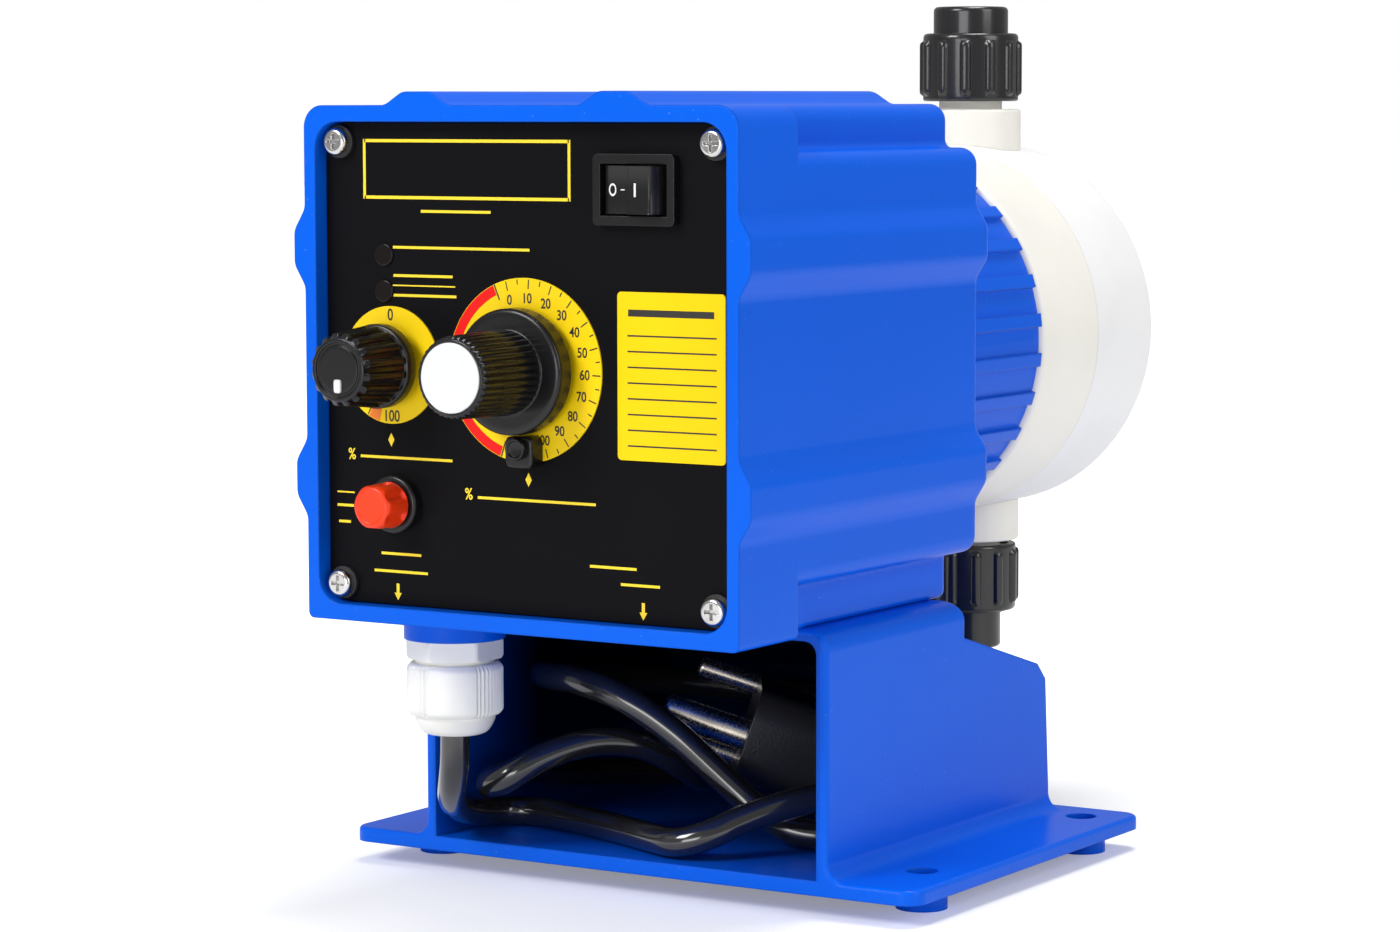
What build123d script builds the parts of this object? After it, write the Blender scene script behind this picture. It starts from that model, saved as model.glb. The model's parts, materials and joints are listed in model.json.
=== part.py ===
from build123d import *
import os
from math import cos, pi, radians, sin, sqrt, tan

# A motor-driven (solenoid) diaphragm metering pump on its base.
# Millimetres. +X is the pump's right seen from its control panel, +Y runs from the panel
# to the pump head, +Z is up. The origin is the middle of the four mounting holes, on the
# surface that the pads stand on.

# ---------- driving dimensions ----------
# mounting pads and base
hole_pitch_x = 132.5
hole_pitch_y = 80.0
hole_d = 7.5
pad_d = 11.8
pad_height = 5.0
plate_width = 154.5
plate_front_y = -63.0
plate_back_y = 51.8
plate_thickness = 3.4
plate_corner = 5.0
plate_edge_r = 1.0
base_width = 109.8
base_wall = 2.8
base_shoulder = 5.0
base_roof_front_drop = 9.1
base_roof_back_drop = 19.8
base_back_y = 42.9
base_screw_d = 4.0
base_screw_head_r = 3.5
base_screw_length = 9.0
base_screw_inset = 21.9
base_screw_front = 21.0
base_screw_rear = 15.8
base_step = 2.8
base_lean = 2.3
base_nose = 4.2
base_foot_r = 4.0
base_bay_r = 3.0

# housing casting
front_y = -104.2
rear_y = 3.8
housing_bottom = 64.9
flange_width = 114.6
flange_height = 115.9
flange_depth = 24.5
housing_wall = 3.2
notch_width = 8.3
notch_top = 10.1
notch_bottom = 11.1
rib_offset = 26.0
rib_rise = 3.0
rib_foot = 17.5
rib_crest = 7.8
rear_round = 3.0

# control panel
flange_rim = 3.0
recess_corner = 6.0
recess_depth = 4.0
panel_thickness = 3.0
panel_gap = 0.3
gasket_thickness = 1.0
ledge_width = 3.8
ledge_thickness = 3.0
panel_screw_inset = 4.5
panel_screw_d = 4.0
washer_thickness = 1.0
panel_screw_head_r = 3.1
panel_washer_r = 3.7

# controls on the panel: positions are measured from the pump axis
stroke_dial_r = 20.3
stroke_skirt_r = 13.9
stroke_skirt_length = 5.0
stroke_skirt_gap = 2.3
stroke_grip_back_r = 8.9
stroke_grip_front_r = 8.4
stroke_knob_length = 26.0
stroke_ribs = 36
rib_height = 0.6
stroke_travel = 1.25
spindle_r = 3.0
stop_rod_r = 1.6
lock_peg_x = 1.2
lock_peg_drop = 16.9
lock_peg_r = 2.5
lock_peg_length = 6.4
speed_x = -36.3
speed_dial_r = 13.2
speed_knob_back_r = 9.35
speed_knob_front_r = 7.0
speed_knob_length = 19.0
speed_shaft_r = 3.0
fuse_x = -35.0
fuse_drop = 31.2
fuse_bezel_r = 6.6
fuse_cap_r = 5.2
fuse_cap_length = 9.2
rocker_x = 29.7
rocker_rise = 39.8
rocker_bezel_width = 20.8
rocker_bezel_height = 15.4
rocker_bezel_thickness = 2.2
rocker_tilt = 12.0
lamp_x = -38.1
lamp_rise = (24.6, 16.5)
lamp_r = 2.6
label_x = 38.1
label_drop = 0.3
label_width = 27.4
label_height = 36.4
dial_thickness = 0.4
bush_r = 5.0
speed_thread_r = 3.5
fuse_body_r = 5.0
switch_width = 19.0
switch_height = 13.0
stroke_cap_r = 7.6
speed_nut_thickness = 2.0
pot_body_r = 8.0
fuse_bore_r = 4.1
fuse_r = 2.6
rocker_width = 16.0
rocker_face_width = 13.8
rocker_height = 10.4
rocker_pivot_r = 1.2
pivot_length = 0.8
board_thickness = 1.6
board_half_x = 44.0
board_half_z = 34.0
board_peg_r = 1.6

# drive
adapter_length = 52.0
adapter_r = 45.9
adapter_fin_rise = 1.2
adapter_fin_width = 3.3
adapter_fins = 30
adapter_bore_r = 39.6
adapter_end_wall = 6.0
can_wall = 3.0
can_length = 64.0
coil_former_r = 16.4
coil_r = 34.0
plunger_r = 14.0
air_gap = 1.4
shaft_r = 4.0
adapter_screw_d = 4.0
adapter_screw_head_r = 3.3
shaft_bush_r = 6.5
spring_r = 7.0
spring_wire_r = 0.7
hub_thickness = 5.0
hub_r = 11.0

# wet end
spacer_length = 30.0
head_length = 32.2
head_r = 47.4
head_edge = 2.0
membrane_r = 33.0
membrane_thickness = 1.6
chamber_r = 27.0
chamber_depth = 3.5
head_screw_ring_r = 41.0
head_screw_d = 5.0
valve_back = 12.5
collar_r = 13.1
collar_height = 9.0
neck_r = 8.2
neck_height = 2.1
nut_r = 12.4
nut_rib_rise = 1.0
nut_height = 17.6
nut_ribs = 12
nut_rib_turn = -8.0
port_tube_r = 9.7
discharge_tube_height = 6.9
suction_tube_height = 10.0
port_bore_r = 4.5
ball_r = 4.0
ball_seat_r = 3.0
ball_lift = 2.0
pocket_depth = 14.0
pocket_r = 8.2
head_bore_r = 3.2
head_screw_head_r = 4.25
head_washer_r = 4.6
head_washer_thickness = 1.0
head_screw_sink = 8.0
spigot_r = 10.3
spigot_height = 8.0
ball_room_r = 5.2
seal_thickness = 1.2

# cable gland and mains lead
gland_x = -33.9
gland_y = -80.2
gland_boss_r = 11.7
gland_boss_height = 5.7
gland_thread_r = 9.2
gland_hex_flats = 22.0
gland_hex_height = 4.7
gland_nut_r = 11.8
gland_nut_height = 12.9
gland_dome_height = 4.6
cord_d = 6.8
plug_length = 40.0
plug_width = 34.0
plug_rear_width = 22.0
plug_thickness = 23.0
earth_pin_r = 3.5
earth_pin_length = 20.6
line_pin_r = 2.54
line_pin_length = 14.9
gland_inner_r = 7.4
relief_r = 4.6
relief_length = 11.0
relief_back = 24.0

# clearances
running = 0.05
slide_gap = 0.3
face_gap = 0.02

# ---------- derived places ----------
plate_bottom = pad_height
plate_top = plate_bottom + plate_thickness
axis_z = housing_bottom + flange_height / 2
housing_top = housing_bottom + flange_height
flange_back_y = front_y + flange_depth
panel_front_y = front_y + recess_depth
panel_back_y = panel_front_y + panel_thickness
ledge_y = panel_back_y + gasket_thickness
recess_size = flange_width - 2 * flange_rim
panel_screw_offset = recess_size / 2 - panel_screw_inset
body_half = flange_width / 2 - notch_width
adapter_end_y = rear_y + adapter_length
spacer_end_y = adapter_end_y + spacer_length
head_end_y = spacer_end_y + head_length
valve_y = head_end_y - valve_back
can_end_y = adapter_end_y - adapter_end_wall
can_start_y = can_end_y - can_length
can_r = adapter_bore_r - slide_gap
pole_face_y = can_end_y - 31.0
plunger_start_y = can_start_y - 1.5
head_top = axis_z + head_r
head_floor = axis_z - head_r
board_y = panel_back_y + 13.0
membrane_y = spacer_end_y - membrane_thickness / 2
hub_end_y = membrane_y - slide_gap
hub_back_y = hub_end_y - 1.5
head_screw_hole_end = can_end_y + 0.4
cord_r = cord_d / 2


# ---------- small helpers ----------
def plane_y(y, x=0.0, z=0.0):
    """A sketch plane whose own x and y are the pump's X and Z; extrusions run towards -Y."""
    return Plane(origin=(x, y, z), x_dir=(1, 0, 0), z_dir=(0, -1, 0))


def prism_y(sketch, y0, y1, x=0.0, z=0.0):
    """A sketch in X and Z, made solid from y0 to y1."""
    return extrude(plane_y(y1, x, z) * sketch, amount=y1 - y0)


def rod_y(r, y0, y1, x=0.0, z=axis_z):
    return prism_y(Circle(r), y0, y1, x, z)


def tube_y(outer, inner, y0, y1, x=0.0, z=axis_z):
    return prism_y(Circle(outer) - Circle(inner), y0, y1, x, z)


def cone_y(r0, r1, y0, y1, x=0.0, z=axis_z):
    """A cone whose radius goes from r0 at y0 to r1 at y1."""
    body = Cone(r1, r0, y1 - y0, align=(Align.CENTER, Align.CENTER, Align.MIN))
    return Pos(x, y1, z) * Rot(90, 0, 0) * body


def ribbed(plane, r, count):
    """A face on a plane with ribs all round that stand out from radius r."""
    points = []
    for i in range(count):
        for share, reach in ((0.0, r), (0.3, r), (0.5, r + rib_height), (0.8, r + rib_height)):
            a = 2 * pi * (i + share) / count
            points.append((reach * cos(a), reach * sin(a)))
    return plane * make_face(Polyline(*points, close=True))


def rod_z(r, z0, z1, x=0.0, y=0.0):
    body = Cylinder(r, z1 - z0, align=(Align.CENTER, Align.CENTER, Align.MIN))
    return Pos(x, y, z0) * body


def tube_z(outer, inner, z0, z1, x=0.0, y=0.0):
    return rod_z(outer, z0, z1, x, y) - rod_z(inner, z0, z1, x, y)


def block(x0, x1, y0, y1, z0, z1):
    return Pos((x0 + x1) / 2, (y0 + y1) / 2, (z0 + z1) / 2) * Box(x1 - x0, y1 - y0, z1 - z0)


def rounded(width, height, corner):
    return RectangleRounded(width, height, corner)


def corners(offset_x, offset_z=None):
    """The four corner places of a rectangle about the pump axis."""
    up = offset_x if offset_z is None else offset_z
    return [(sx * offset_x, axis_z + sz * up) for sx in (-1, 1) for sz in (-1, 1)]


def group(solids):
    return Compound(children=[s for part in solids for s in part.solids()])


def outline(points):
    """A closed face from (x, z, corner radius) points."""
    places = [(x, z) for x, z, r in points]
    radii = [r for x, z, r in points]
    return make_face(FilletPolyline(*places, radius=radii, close=True))


def side_bumps(x, sign, order):
    """The two lengthways swellings on one side of the casting, as outline points."""
    points = []
    for middle in order:
        along = -1 if order[0] > order[1] else 1
        z = axis_z + middle
        points += [
            (x, z - along * rib_foot / 2, 4.0),
            (x + sign * rib_rise, z - along * rib_crest / 2, 4.0),
            (x + sign * rib_rise, z + along * rib_crest / 2, 4.0),
            (x, z + along * rib_foot / 2, 4.0),
        ]
    return points


def top_bumps(z):
    """The two swellings on the top of the casting, from right to left."""
    points = []
    for middle in (rib_offset, -rib_offset):
        points += [
            (middle + rib_foot / 2, z, 4.0),
            (middle + rib_crest / 2, z + rib_rise, 4.0),
            (middle - rib_crest / 2, z + rib_rise, 4.0),
            (middle - rib_foot / 2, z, 4.0),
        ]
    return points


# ---------- base ----------
def make_base():
    """The plate with its pads, and the open-fronted shell that carries the housing."""
    half = base_width / 2
    middle_y = (plate_front_y + plate_back_y) / 2
    depth = plate_back_y - plate_front_y
    plate = Pos(0, middle_y, plate_bottom) * extrude(
        rounded(plate_width, depth, plate_corner), amount=plate_thickness)
    roof_y = rear_y - base_step
    roof_front = housing_bottom - base_roof_front_drop
    roof_back = housing_bottom - base_roof_back_drop
    side = [
        (plate_front_y, plate_top - 1.0),
        (base_back_y + base_lean, plate_top - 1.0),
        (base_back_y, roof_back - base_nose),
        (base_back_y - base_nose, roof_back),
        (roof_y, roof_front),
        (roof_y, housing_bottom),
        (plate_front_y, housing_bottom),
    ]
    plane = Plane(origin=(-half, 0, 0), x_dir=(0, 1, 0), z_dir=(1, 0, 0))
    shell = extrude(plane * make_face(Polyline(*side, close=True)), amount=2 * half)
    top_edges = shell.faces().sort_by(Axis.Z)[-1].edges().sort_by(Axis.Y)[1:]
    shell = fillet(top_edges, base_shoulder)
    inner = [
        (plate_front_y - 1.0, plate_top),
        (base_back_y + base_lean - base_wall, plate_top),
        (base_back_y - base_wall, roof_back - base_nose - base_wall / 2),
        (base_back_y - base_wall - base_nose, roof_back - base_wall),
        (roof_y - base_wall, roof_front - base_wall),
        (roof_y - base_wall, housing_bottom - base_wall),
        (plate_front_y - 1.0, housing_bottom - base_wall),
    ]
    plane = Plane(origin=(-half + base_wall, 0, 0), x_dir=(0, 1, 0), z_dir=(1, 0, 0))
    cavity = extrude(plane * make_face(Polyline(*inner, close=True)), amount=2 * (half - base_wall))
    cavity = fillet(cavity.faces().sort_by(Axis.Z)[-1].edges().filter_by(Axis.Y), base_bay_r)
    base = plate + (shell - cavity)
    top = [e for e in base.edges() if abs(e.bounding_box().min.Z - plate_top) < 0.01
           and abs(e.bounding_box().max.Z - plate_top) < 0.01]
    feet = [e for e in top if abs(abs(e.center().X) - half) < 0.01]
    base = fillet(feet, base_foot_r)
    top = [e for e in base.edges() if abs(e.bounding_box().min.Z - plate_top) < 0.01
           and abs(e.bounding_box().max.Z - plate_top) < 0.01]
    rim = [e for e in top if abs(e.center().X) > half + base_foot_r + 0.1
           or e.center().Y > plate_back_y - 0.1]
    base = fillet(rim, plate_edge_r)
    for x in (-hole_pitch_x / 2, hole_pitch_x / 2):
        for y in (-hole_pitch_y / 2, hole_pitch_y / 2):
            base += rod_z(pad_d / 2, 0, plate_bottom + 1.0, x, y)
            base -= rod_z(hole_d / 2, -1.0, plate_top + 1.0, x, y)
    for x, y in base_screw_places():
        base -= rod_z(base_screw_d / 2 + 0.3, housing_bottom - 2 * base_wall, housing_bottom + 1.0, x, y)
    return base


def base_screw_places():
    x = base_width / 2 - base_screw_inset
    return [(side * x, y) for side in (-1, 1)
            for y in (plate_front_y + base_screw_front, rear_y - base_screw_rear)]


def make_base_screws():
    """Pan-head screws that go up through the base's top into the housing."""
    screws = []
    under = housing_bottom - base_wall
    for x, y in base_screw_places():
        head = rod_z(base_screw_head_r, under - 2.6, under, x, y)
        shank = rod_z(base_screw_d / 2, under, under + base_screw_length, x, y)
        screws.append(head + shank)
    return group(screws)


# ---------- housing ----------
def flange_outline():
    half = flange_width / 2
    right = side_bumps(half, 1, (-rib_offset, rib_offset))
    left = side_bumps(-half, -1, (rib_offset, -rib_offset))
    return outline(
        [(-half, housing_bottom, 1.5), (half, housing_bottom, 1.5)] + right
        + [(half, housing_top, 5.0)] + top_bumps(housing_top)
        + [(-half, housing_top, 5.0)] + left)


def body_outline():
    half = flange_width / 2
    low = housing_bottom + notch_bottom
    high = housing_top - notch_top
    right = side_bumps(half, 1, (-rib_offset, rib_offset))
    left = side_bumps(-half, -1, (rib_offset, -rib_offset))
    return outline(
        [(-body_half, housing_bottom, 1.5), (body_half, housing_bottom, 1.5),
         (body_half, low, 2.0), (half, low, 4.0)] + right
        + [(half, high, 4.0), (body_half, high, 2.0), (body_half, housing_top, 4.0)]
        + top_bumps(housing_top)
        + [(-body_half, housing_top, 4.0), (-body_half, high, 2.0), (-half, high, 4.0)]
        + left + [(-half, low, 4.0), (-body_half, low, 2.0)])


def make_housing():
    half = flange_width / 2
    body = prism_y(body_outline(), flange_back_y - 1.0, rear_y)
    rear_edges = body.faces().sort_by(Axis.Y)[-1].outer_wire().edges()
    body = fillet(rear_edges, rear_round)
    housing = prism_y(flange_outline(), front_y, flange_back_y) + body
    housing += rod_z(gland_boss_r, housing_bottom - gland_boss_height, housing_bottom + 1.0,
                     gland_x, gland_y)
    recess = rounded(recess_size, recess_size, recess_corner)
    housing -= prism_y(recess, front_y - 1.0, ledge_y, 0, axis_z)
    opening = recess_size - 2 * ledge_width
    corner_block = recess_size / 2 - body_half + housing_wall
    arm = recess_size - 2 * corner_block
    ledge_end = ledge_y + ledge_thickness
    for w, h in ((opening, arm), (arm, opening)):
        housing -= prism_y(Rectangle(w, h), ledge_y - 1.0, ledge_end, 0, axis_z)
    inside_low = housing_bottom + notch_bottom + housing_wall
    inside_high = housing_top - notch_top - housing_wall
    inside_end = rear_y - housing_wall
    housing -= block(-half + housing_wall, half - housing_wall, ledge_end, inside_end,
                     inside_low, inside_high)
    housing -= block(-body_half + housing_wall, body_half - housing_wall, ledge_end, inside_end,
                     housing_bottom + housing_wall, housing_top - housing_wall)
    housing -= rod_y(adapter_bore_r, inside_end - 1.0, rear_y + 1.0)
    housing -= rod_z(gland_thread_r + running, housing_bottom - gland_boss_height - 1.0,
                     housing_bottom + housing_wall + 1.0, gland_x, gland_y)
    for x, z in corners(panel_screw_offset):
        housing -= rod_y(panel_screw_d / 2, ledge_y - 1.0, ledge_y + 12.0, x, z)
    for x, y in base_screw_places():
        housing += rod_z(base_screw_d, housing_bottom + 0.5, housing_bottom + 8.0, x, y)
        housing -= rod_z(base_screw_d / 2, housing_bottom - 1.0, housing_bottom + 7.0, x, y)
    for x, z in adapter_screw_places():
        housing -= rod_y(adapter_screw_d / 2 + 0.2, inside_end - 1.0, rear_y + 1.0, x, z)
    return housing


# ---------- control panel ----------
def make_panel_gasket():
    size = recess_size - 2 * panel_gap
    opening = recess_size - 2 * ledge_width
    corner_block = recess_size / 2 - body_half + housing_wall
    arm = recess_size - 2 * corner_block
    ring = rounded(size, size, recess_corner - panel_gap)
    ring -= Rectangle(opening, arm)
    ring -= Rectangle(arm, opening)
    gasket = prism_y(ring, panel_back_y, ledge_y, 0, axis_z)
    for x, z in corners(panel_screw_offset):
        gasket -= rod_y(panel_screw_d / 2 + 0.2, panel_back_y - 1.0, ledge_y + 1.0, x, z)
    return gasket


def make_control_panel():
    size = recess_size - 2 * panel_gap
    panel = prism_y(rounded(size, size, recess_corner - panel_gap), panel_front_y, panel_back_y,
                    0, axis_z)
    y0 = panel_front_y - 1.0
    y1 = panel_back_y + 1.0
    for x, z in corners(panel_screw_offset):
        panel -= rod_y(panel_screw_d / 2 + 0.2, y0, y1, x, z)
    panel -= rod_y(bush_r, y0, y1)
    panel -= rod_y(speed_thread_r + running, y0, y1, speed_x, axis_z)
    panel -= rod_y(fuse_body_r + running, y0, y1, fuse_x, axis_z - fuse_drop)
    panel -= rod_y(lock_peg_r * 0.6, y0, y1, lock_peg_x, axis_z - lock_peg_drop)
    panel -= prism_y(Rectangle(switch_width + 2 * running, switch_height + 2 * running), y0, y1,
                     rocker_x, axis_z + rocker_rise)
    for rise in lamp_rise:
        panel -= rod_y(lamp_r, y0, y1, lamp_x, axis_z + rise)
    return panel


def make_panel_screws():
    """Pan-head cross-recess screws at the panel's corners."""
    screws = []
    top = panel_front_y - washer_thickness
    for x, z in corners(panel_screw_offset):
        head = rod_y(panel_screw_head_r, top - 2.2, top, x, z)
        head = fillet(head.faces().sort_by(Axis.Y)[0].edges(), 1.0)
        for w, h in ((3.6, 0.8), (0.8, 3.6)):
            head -= prism_y(Rectangle(w, h), top - 3.0, top - 1.0, x, z)
        screws.append(head + rod_y(panel_screw_d / 2, top, ledge_y + 10.0, x, z))
    return group(screws)


def make_panel_washers():
    washers = [tube_y(panel_washer_r, panel_screw_d / 2 + 0.2, panel_front_y - washer_thickness,
                      panel_front_y, x, z) for x, z in corners(panel_screw_offset)]
    return group(washers)


def make_dial_rings():
    """The printed rings around the stroke knob and the speed knob."""
    face = panel_front_y - dial_thickness
    stroke = tube_y(stroke_dial_r, bush_r, face, panel_front_y)
    stroke -= rod_y(lock_peg_r + 0.1, face - 1.0, panel_front_y + 1.0, lock_peg_x,
                    axis_z - lock_peg_drop)
    return group([stroke, tube_y(speed_dial_r, speed_thread_r + 0.1, face, panel_front_y, speed_x)])


def make_rating_label():
    """A blank plate on the panel's right side."""
    return prism_y(rounded(label_width, label_height, 1.0), panel_front_y - dial_thickness,
                   panel_front_y, label_x, axis_z - label_drop)


def make_stroke_knob():
    """Skirt, fluted grip and the hollow stem that turns in the panel bush."""
    back = panel_front_y - stroke_skirt_gap
    skirt_front = back - stroke_skirt_length
    front = panel_front_y - stroke_knob_length - stroke_skirt_gap
    knob = rod_y(stroke_skirt_r, skirt_front, back)
    knob = fillet(knob.faces().sort_by(Axis.Y)[0].edges(), 1.0)
    grip_back = ribbed(plane_y(skirt_front + 0.5, 0, axis_z), stroke_grip_back_r, stroke_ribs)
    grip_front = ribbed(plane_y(front, 0, axis_z), stroke_grip_front_r, stroke_ribs)
    knob += loft([grip_back, grip_front], ruled=True)
    knob -= rod_y(stroke_cap_r, front - 1.0, front + 1.2)
    knob += rod_y(spindle_r, skirt_front, panel_back_y + 9.0)
    return knob - rod_y(stop_rod_r + running, skirt_front - 12.0, panel_back_y + 10.0)


def make_stroke_knob_cap():
    front = panel_front_y - stroke_knob_length - stroke_skirt_gap
    cap = rod_y(stroke_cap_r, front - 0.3, front + 1.2)
    return fillet(cap.faces().sort_by(Axis.Y)[0].edges(), 0.3)


def make_stroke_bush():
    """The panel bearing of the stroke knob, with its fixing nut's flange behind."""
    bush = tube_y(bush_r, spindle_r + running, panel_front_y - 1.6, panel_back_y + 6.0)
    return bush + tube_y(bush_r + 3.0, spindle_r + running, panel_back_y, panel_back_y + 3.0)


def make_stroke_stop():
    """The stop rod: it slides in the knob's stem and ends behind the plunger."""
    tip = plunger_start_y - stroke_travel - slide_gap
    start = panel_front_y - stroke_skirt_gap - 8.0
    rod = rod_y(stop_rod_r, start, tip - 8.0)
    return rod + rod_y(5.0, tip - 8.0, tip)


def make_lock_peg():
    """The locking peg below the stroke knob."""
    peg = rod_y(lock_peg_r, panel_front_y - lock_peg_length, panel_front_y, lock_peg_x,
                axis_z - lock_peg_drop)
    peg = fillet(peg.faces().sort_by(Axis.Y)[0].edges(), 0.6)
    return peg + rod_y(lock_peg_r * 0.6, panel_front_y, panel_back_y + 4.0, lock_peg_x,
                       axis_z - lock_peg_drop)


def make_speed_knob():
    """The fluted speed knob."""
    back = panel_front_y - 1.5 - speed_nut_thickness
    front = panel_front_y - 1.0 - speed_knob_length
    body = cone_y(speed_knob_front_r + 0.7, speed_knob_back_r, front, back, speed_x)
    body = fillet(body.faces().sort_by(Axis.Y)[0].edges(), 1.0)
    count = 14
    for i in range(count):
        a = 2 * pi * (i + 0.5) / count
        x = speed_x + (speed_knob_back_r + 0.2) * cos(a)
        z = axis_z + (speed_knob_back_r + 0.2) * sin(a)
        body -= rod_y(1.1, front - 1.0, back - 3.0, x, z)
    return body - rod_y(speed_shaft_r, front + 4.0, back + 1.0, speed_x)


def make_speed_pot():
    """The potentiometer body behind the panel with its threaded neck."""
    pot = rod_y(pot_body_r, panel_back_y, panel_back_y + 9.0, speed_x)
    pot += rod_y(speed_thread_r, panel_front_y - speed_nut_thickness, panel_back_y + 1.0, speed_x)
    for x in (-3.5, 0.0, 3.5):
        z = axis_z - pot_body_r
        pot += block(speed_x + x - 0.5, speed_x + x + 0.5, panel_back_y + 4.0,
                     panel_back_y + 4.6, z - 5.0, z + 1.0)
    return pot - rod_y(speed_shaft_r + running, panel_front_y - 4.0, panel_back_y + 6.0, speed_x)


def make_speed_shaft():
    front = panel_front_y - 1.0 - speed_knob_length
    return rod_y(speed_shaft_r, front + 4.0, panel_back_y + 5.5, speed_x)


def make_fuse_holder():
    """Bezel in front of the panel and the tube behind it."""
    z = axis_z - fuse_drop
    holder = rod_y(fuse_bezel_r, panel_front_y - 2.6, panel_front_y, fuse_x, z)
    holder = fillet(holder.faces().sort_by(Axis.Y)[0].edges(), 0.8)
    holder += rod_y(fuse_body_r, panel_front_y - 1.0, panel_back_y + 27.0, fuse_x, z)
    holder -= rod_y(fuse_bore_r, panel_front_y - 4.0, panel_back_y + 26.0, fuse_x, z)
    for y in (panel_back_y + 12.0, panel_back_y + 27.0):
        holder += block(fuse_x - 0.8, fuse_x + 0.8, y - 0.6, y, z - 10.0, z - fuse_bore_r - 0.5)
    return holder


def make_panel_nuts():
    """The hexagon nuts that fix the potentiometer and the fuse holder to the panel."""
    speed = prism_y(RegularPolygon(5.8, 6) - Circle(speed_thread_r),
                    panel_front_y - speed_nut_thickness, panel_front_y - dial_thickness,
                    speed_x, axis_z)
    fuse = prism_y(RegularPolygon(8.0, 6) - Circle(fuse_body_r), panel_back_y,
                   panel_back_y + 3.0, fuse_x, axis_z - fuse_drop)
    return group([speed, fuse])


def make_fuse_cap():
    """The lobed orange cap and the carrier stem that grips the fuse."""
    z = axis_z - fuse_drop
    front = panel_front_y - 2.6 - slide_gap - fuse_cap_length + 1.8
    back = panel_front_y - 2.6 - slide_gap
    cap = rod_y(fuse_cap_r, front, back, fuse_x, z)
    cap = fillet(cap.faces().sort_by(Axis.Y)[0].edges(), 0.8)
    for i in range(6):
        a = 2 * pi * (i + 0.5) / 6
        cap -= rod_y(1.3, front - 1.0, back - 1.5, fuse_x + (fuse_cap_r + 0.5) * cos(a),
                     z + (fuse_cap_r + 0.5) * sin(a))
    cap += rod_y(fuse_bore_r - slide_gap, back - 0.5, back + 9.0, fuse_x, z)
    return cap - rod_y(fuse_r + running, back + 3.0, back + 10.0, fuse_x, z)


def make_fuse():
    z = axis_z - fuse_drop
    start = panel_front_y - 2.6 - slide_gap + 3.0
    return rod_y(fuse_r, start, start + 20.0, fuse_x, z)


# ---------- switch ----------
def make_switch_body():
    """The snap-in body of the rocker switch, with its bezel and rocker well."""
    z = axis_z + rocker_rise
    bezel_front = panel_front_y - rocker_bezel_thickness
    body = prism_y(rounded(rocker_bezel_width, rocker_bezel_height, 1.2), bezel_front,
                   panel_front_y, rocker_x, z)
    body += prism_y(Rectangle(switch_width, switch_height), panel_front_y - 0.5,
                    panel_back_y + 12.0, rocker_x, z)
    body -= prism_y(Rectangle(rocker_width + 1.0, rocker_height + 0.8), bezel_front - 1.0,
                    panel_front_y + 6.0, rocker_x, z)
    reach = rocker_height / 2 + pivot_length + slide_gap
    return body - rod_z(rocker_pivot_r + running, z - reach, z + reach, rocker_x, rocker_pivot_y())


def rocker_pivot_y():
    return panel_front_y + 1.8


def make_rocker():
    """The rocker and its two pivots, drawn level and then laid over to the pressed O side."""
    z = axis_z + rocker_rise
    y = rocker_pivot_y()
    half = rocker_width / 2
    face_half = rocker_face_width / 2
    front = y - 4.6
    face = [(-face_half, front - 0.2), (0, front + 0.9), (face_half, front - 0.2), (half, y - 0.5),
            (2.5, y + 1.8), (-2.5, y + 1.8), (-half, y - 0.5)]
    plane = Plane(origin=(rocker_x, 0, z - rocker_height / 2), x_dir=(1, 0, 0), z_dir=(0, 0, 1))
    rocker = extrude(plane * make_face(Polyline(*face, close=True)), amount=rocker_height)
    reach = rocker_height / 2 + pivot_length
    rocker += rod_z(rocker_pivot_r, z - reach, z + reach, rocker_x, y)
    pivot = Axis((rocker_x, y, z), (0, 0, 1))
    return rocker.rotate(pivot, -rocker_tilt)


def make_switch_terminals():
    z = axis_z + rocker_rise
    y = panel_back_y + 12.0
    tabs = [block(rocker_x + dx - 2.4, rocker_x + dx + 2.4, y, y + 8.0, z + dz - 0.4, z + dz + 0.4)
            for dx in (-5.0, 5.0) for dz in (-3.5, 3.5)]
    return group(tabs)


def make_lamps():
    """The two signal lamps set into the panel."""
    lamps = []
    for rise in lamp_rise:
        lens = rod_y(lamp_r, panel_front_y - 0.5, panel_back_y, lamp_x, axis_z + rise)
        lens = fillet(lens.faces().sort_by(Axis.Y)[0].edges(), 0.4)
        lamps.append(lens + rod_y(lamp_r * 0.8, panel_back_y, board_y, lamp_x, axis_z + rise))
    return group(lamps)


# ---------- electronics ----------


def board_post_places():
    return [(-14.0, axis_z + 28.0), (40.0, axis_z + 18.0), (-14.0, axis_z - 28.0),
            (40.0, axis_z - 28.0)]


def make_board_posts():
    """Hexagonal posts behind the panel, each with a peg that snaps into the board."""
    posts = []
    for x, z in board_post_places():
        post = prism_y(RegularPolygon(3.0, 6), panel_back_y, board_y, x, z)
        posts.append(post + rod_y(board_peg_r, board_y, board_y + board_thickness + 1.2, x, z))
    return group(posts)


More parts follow.
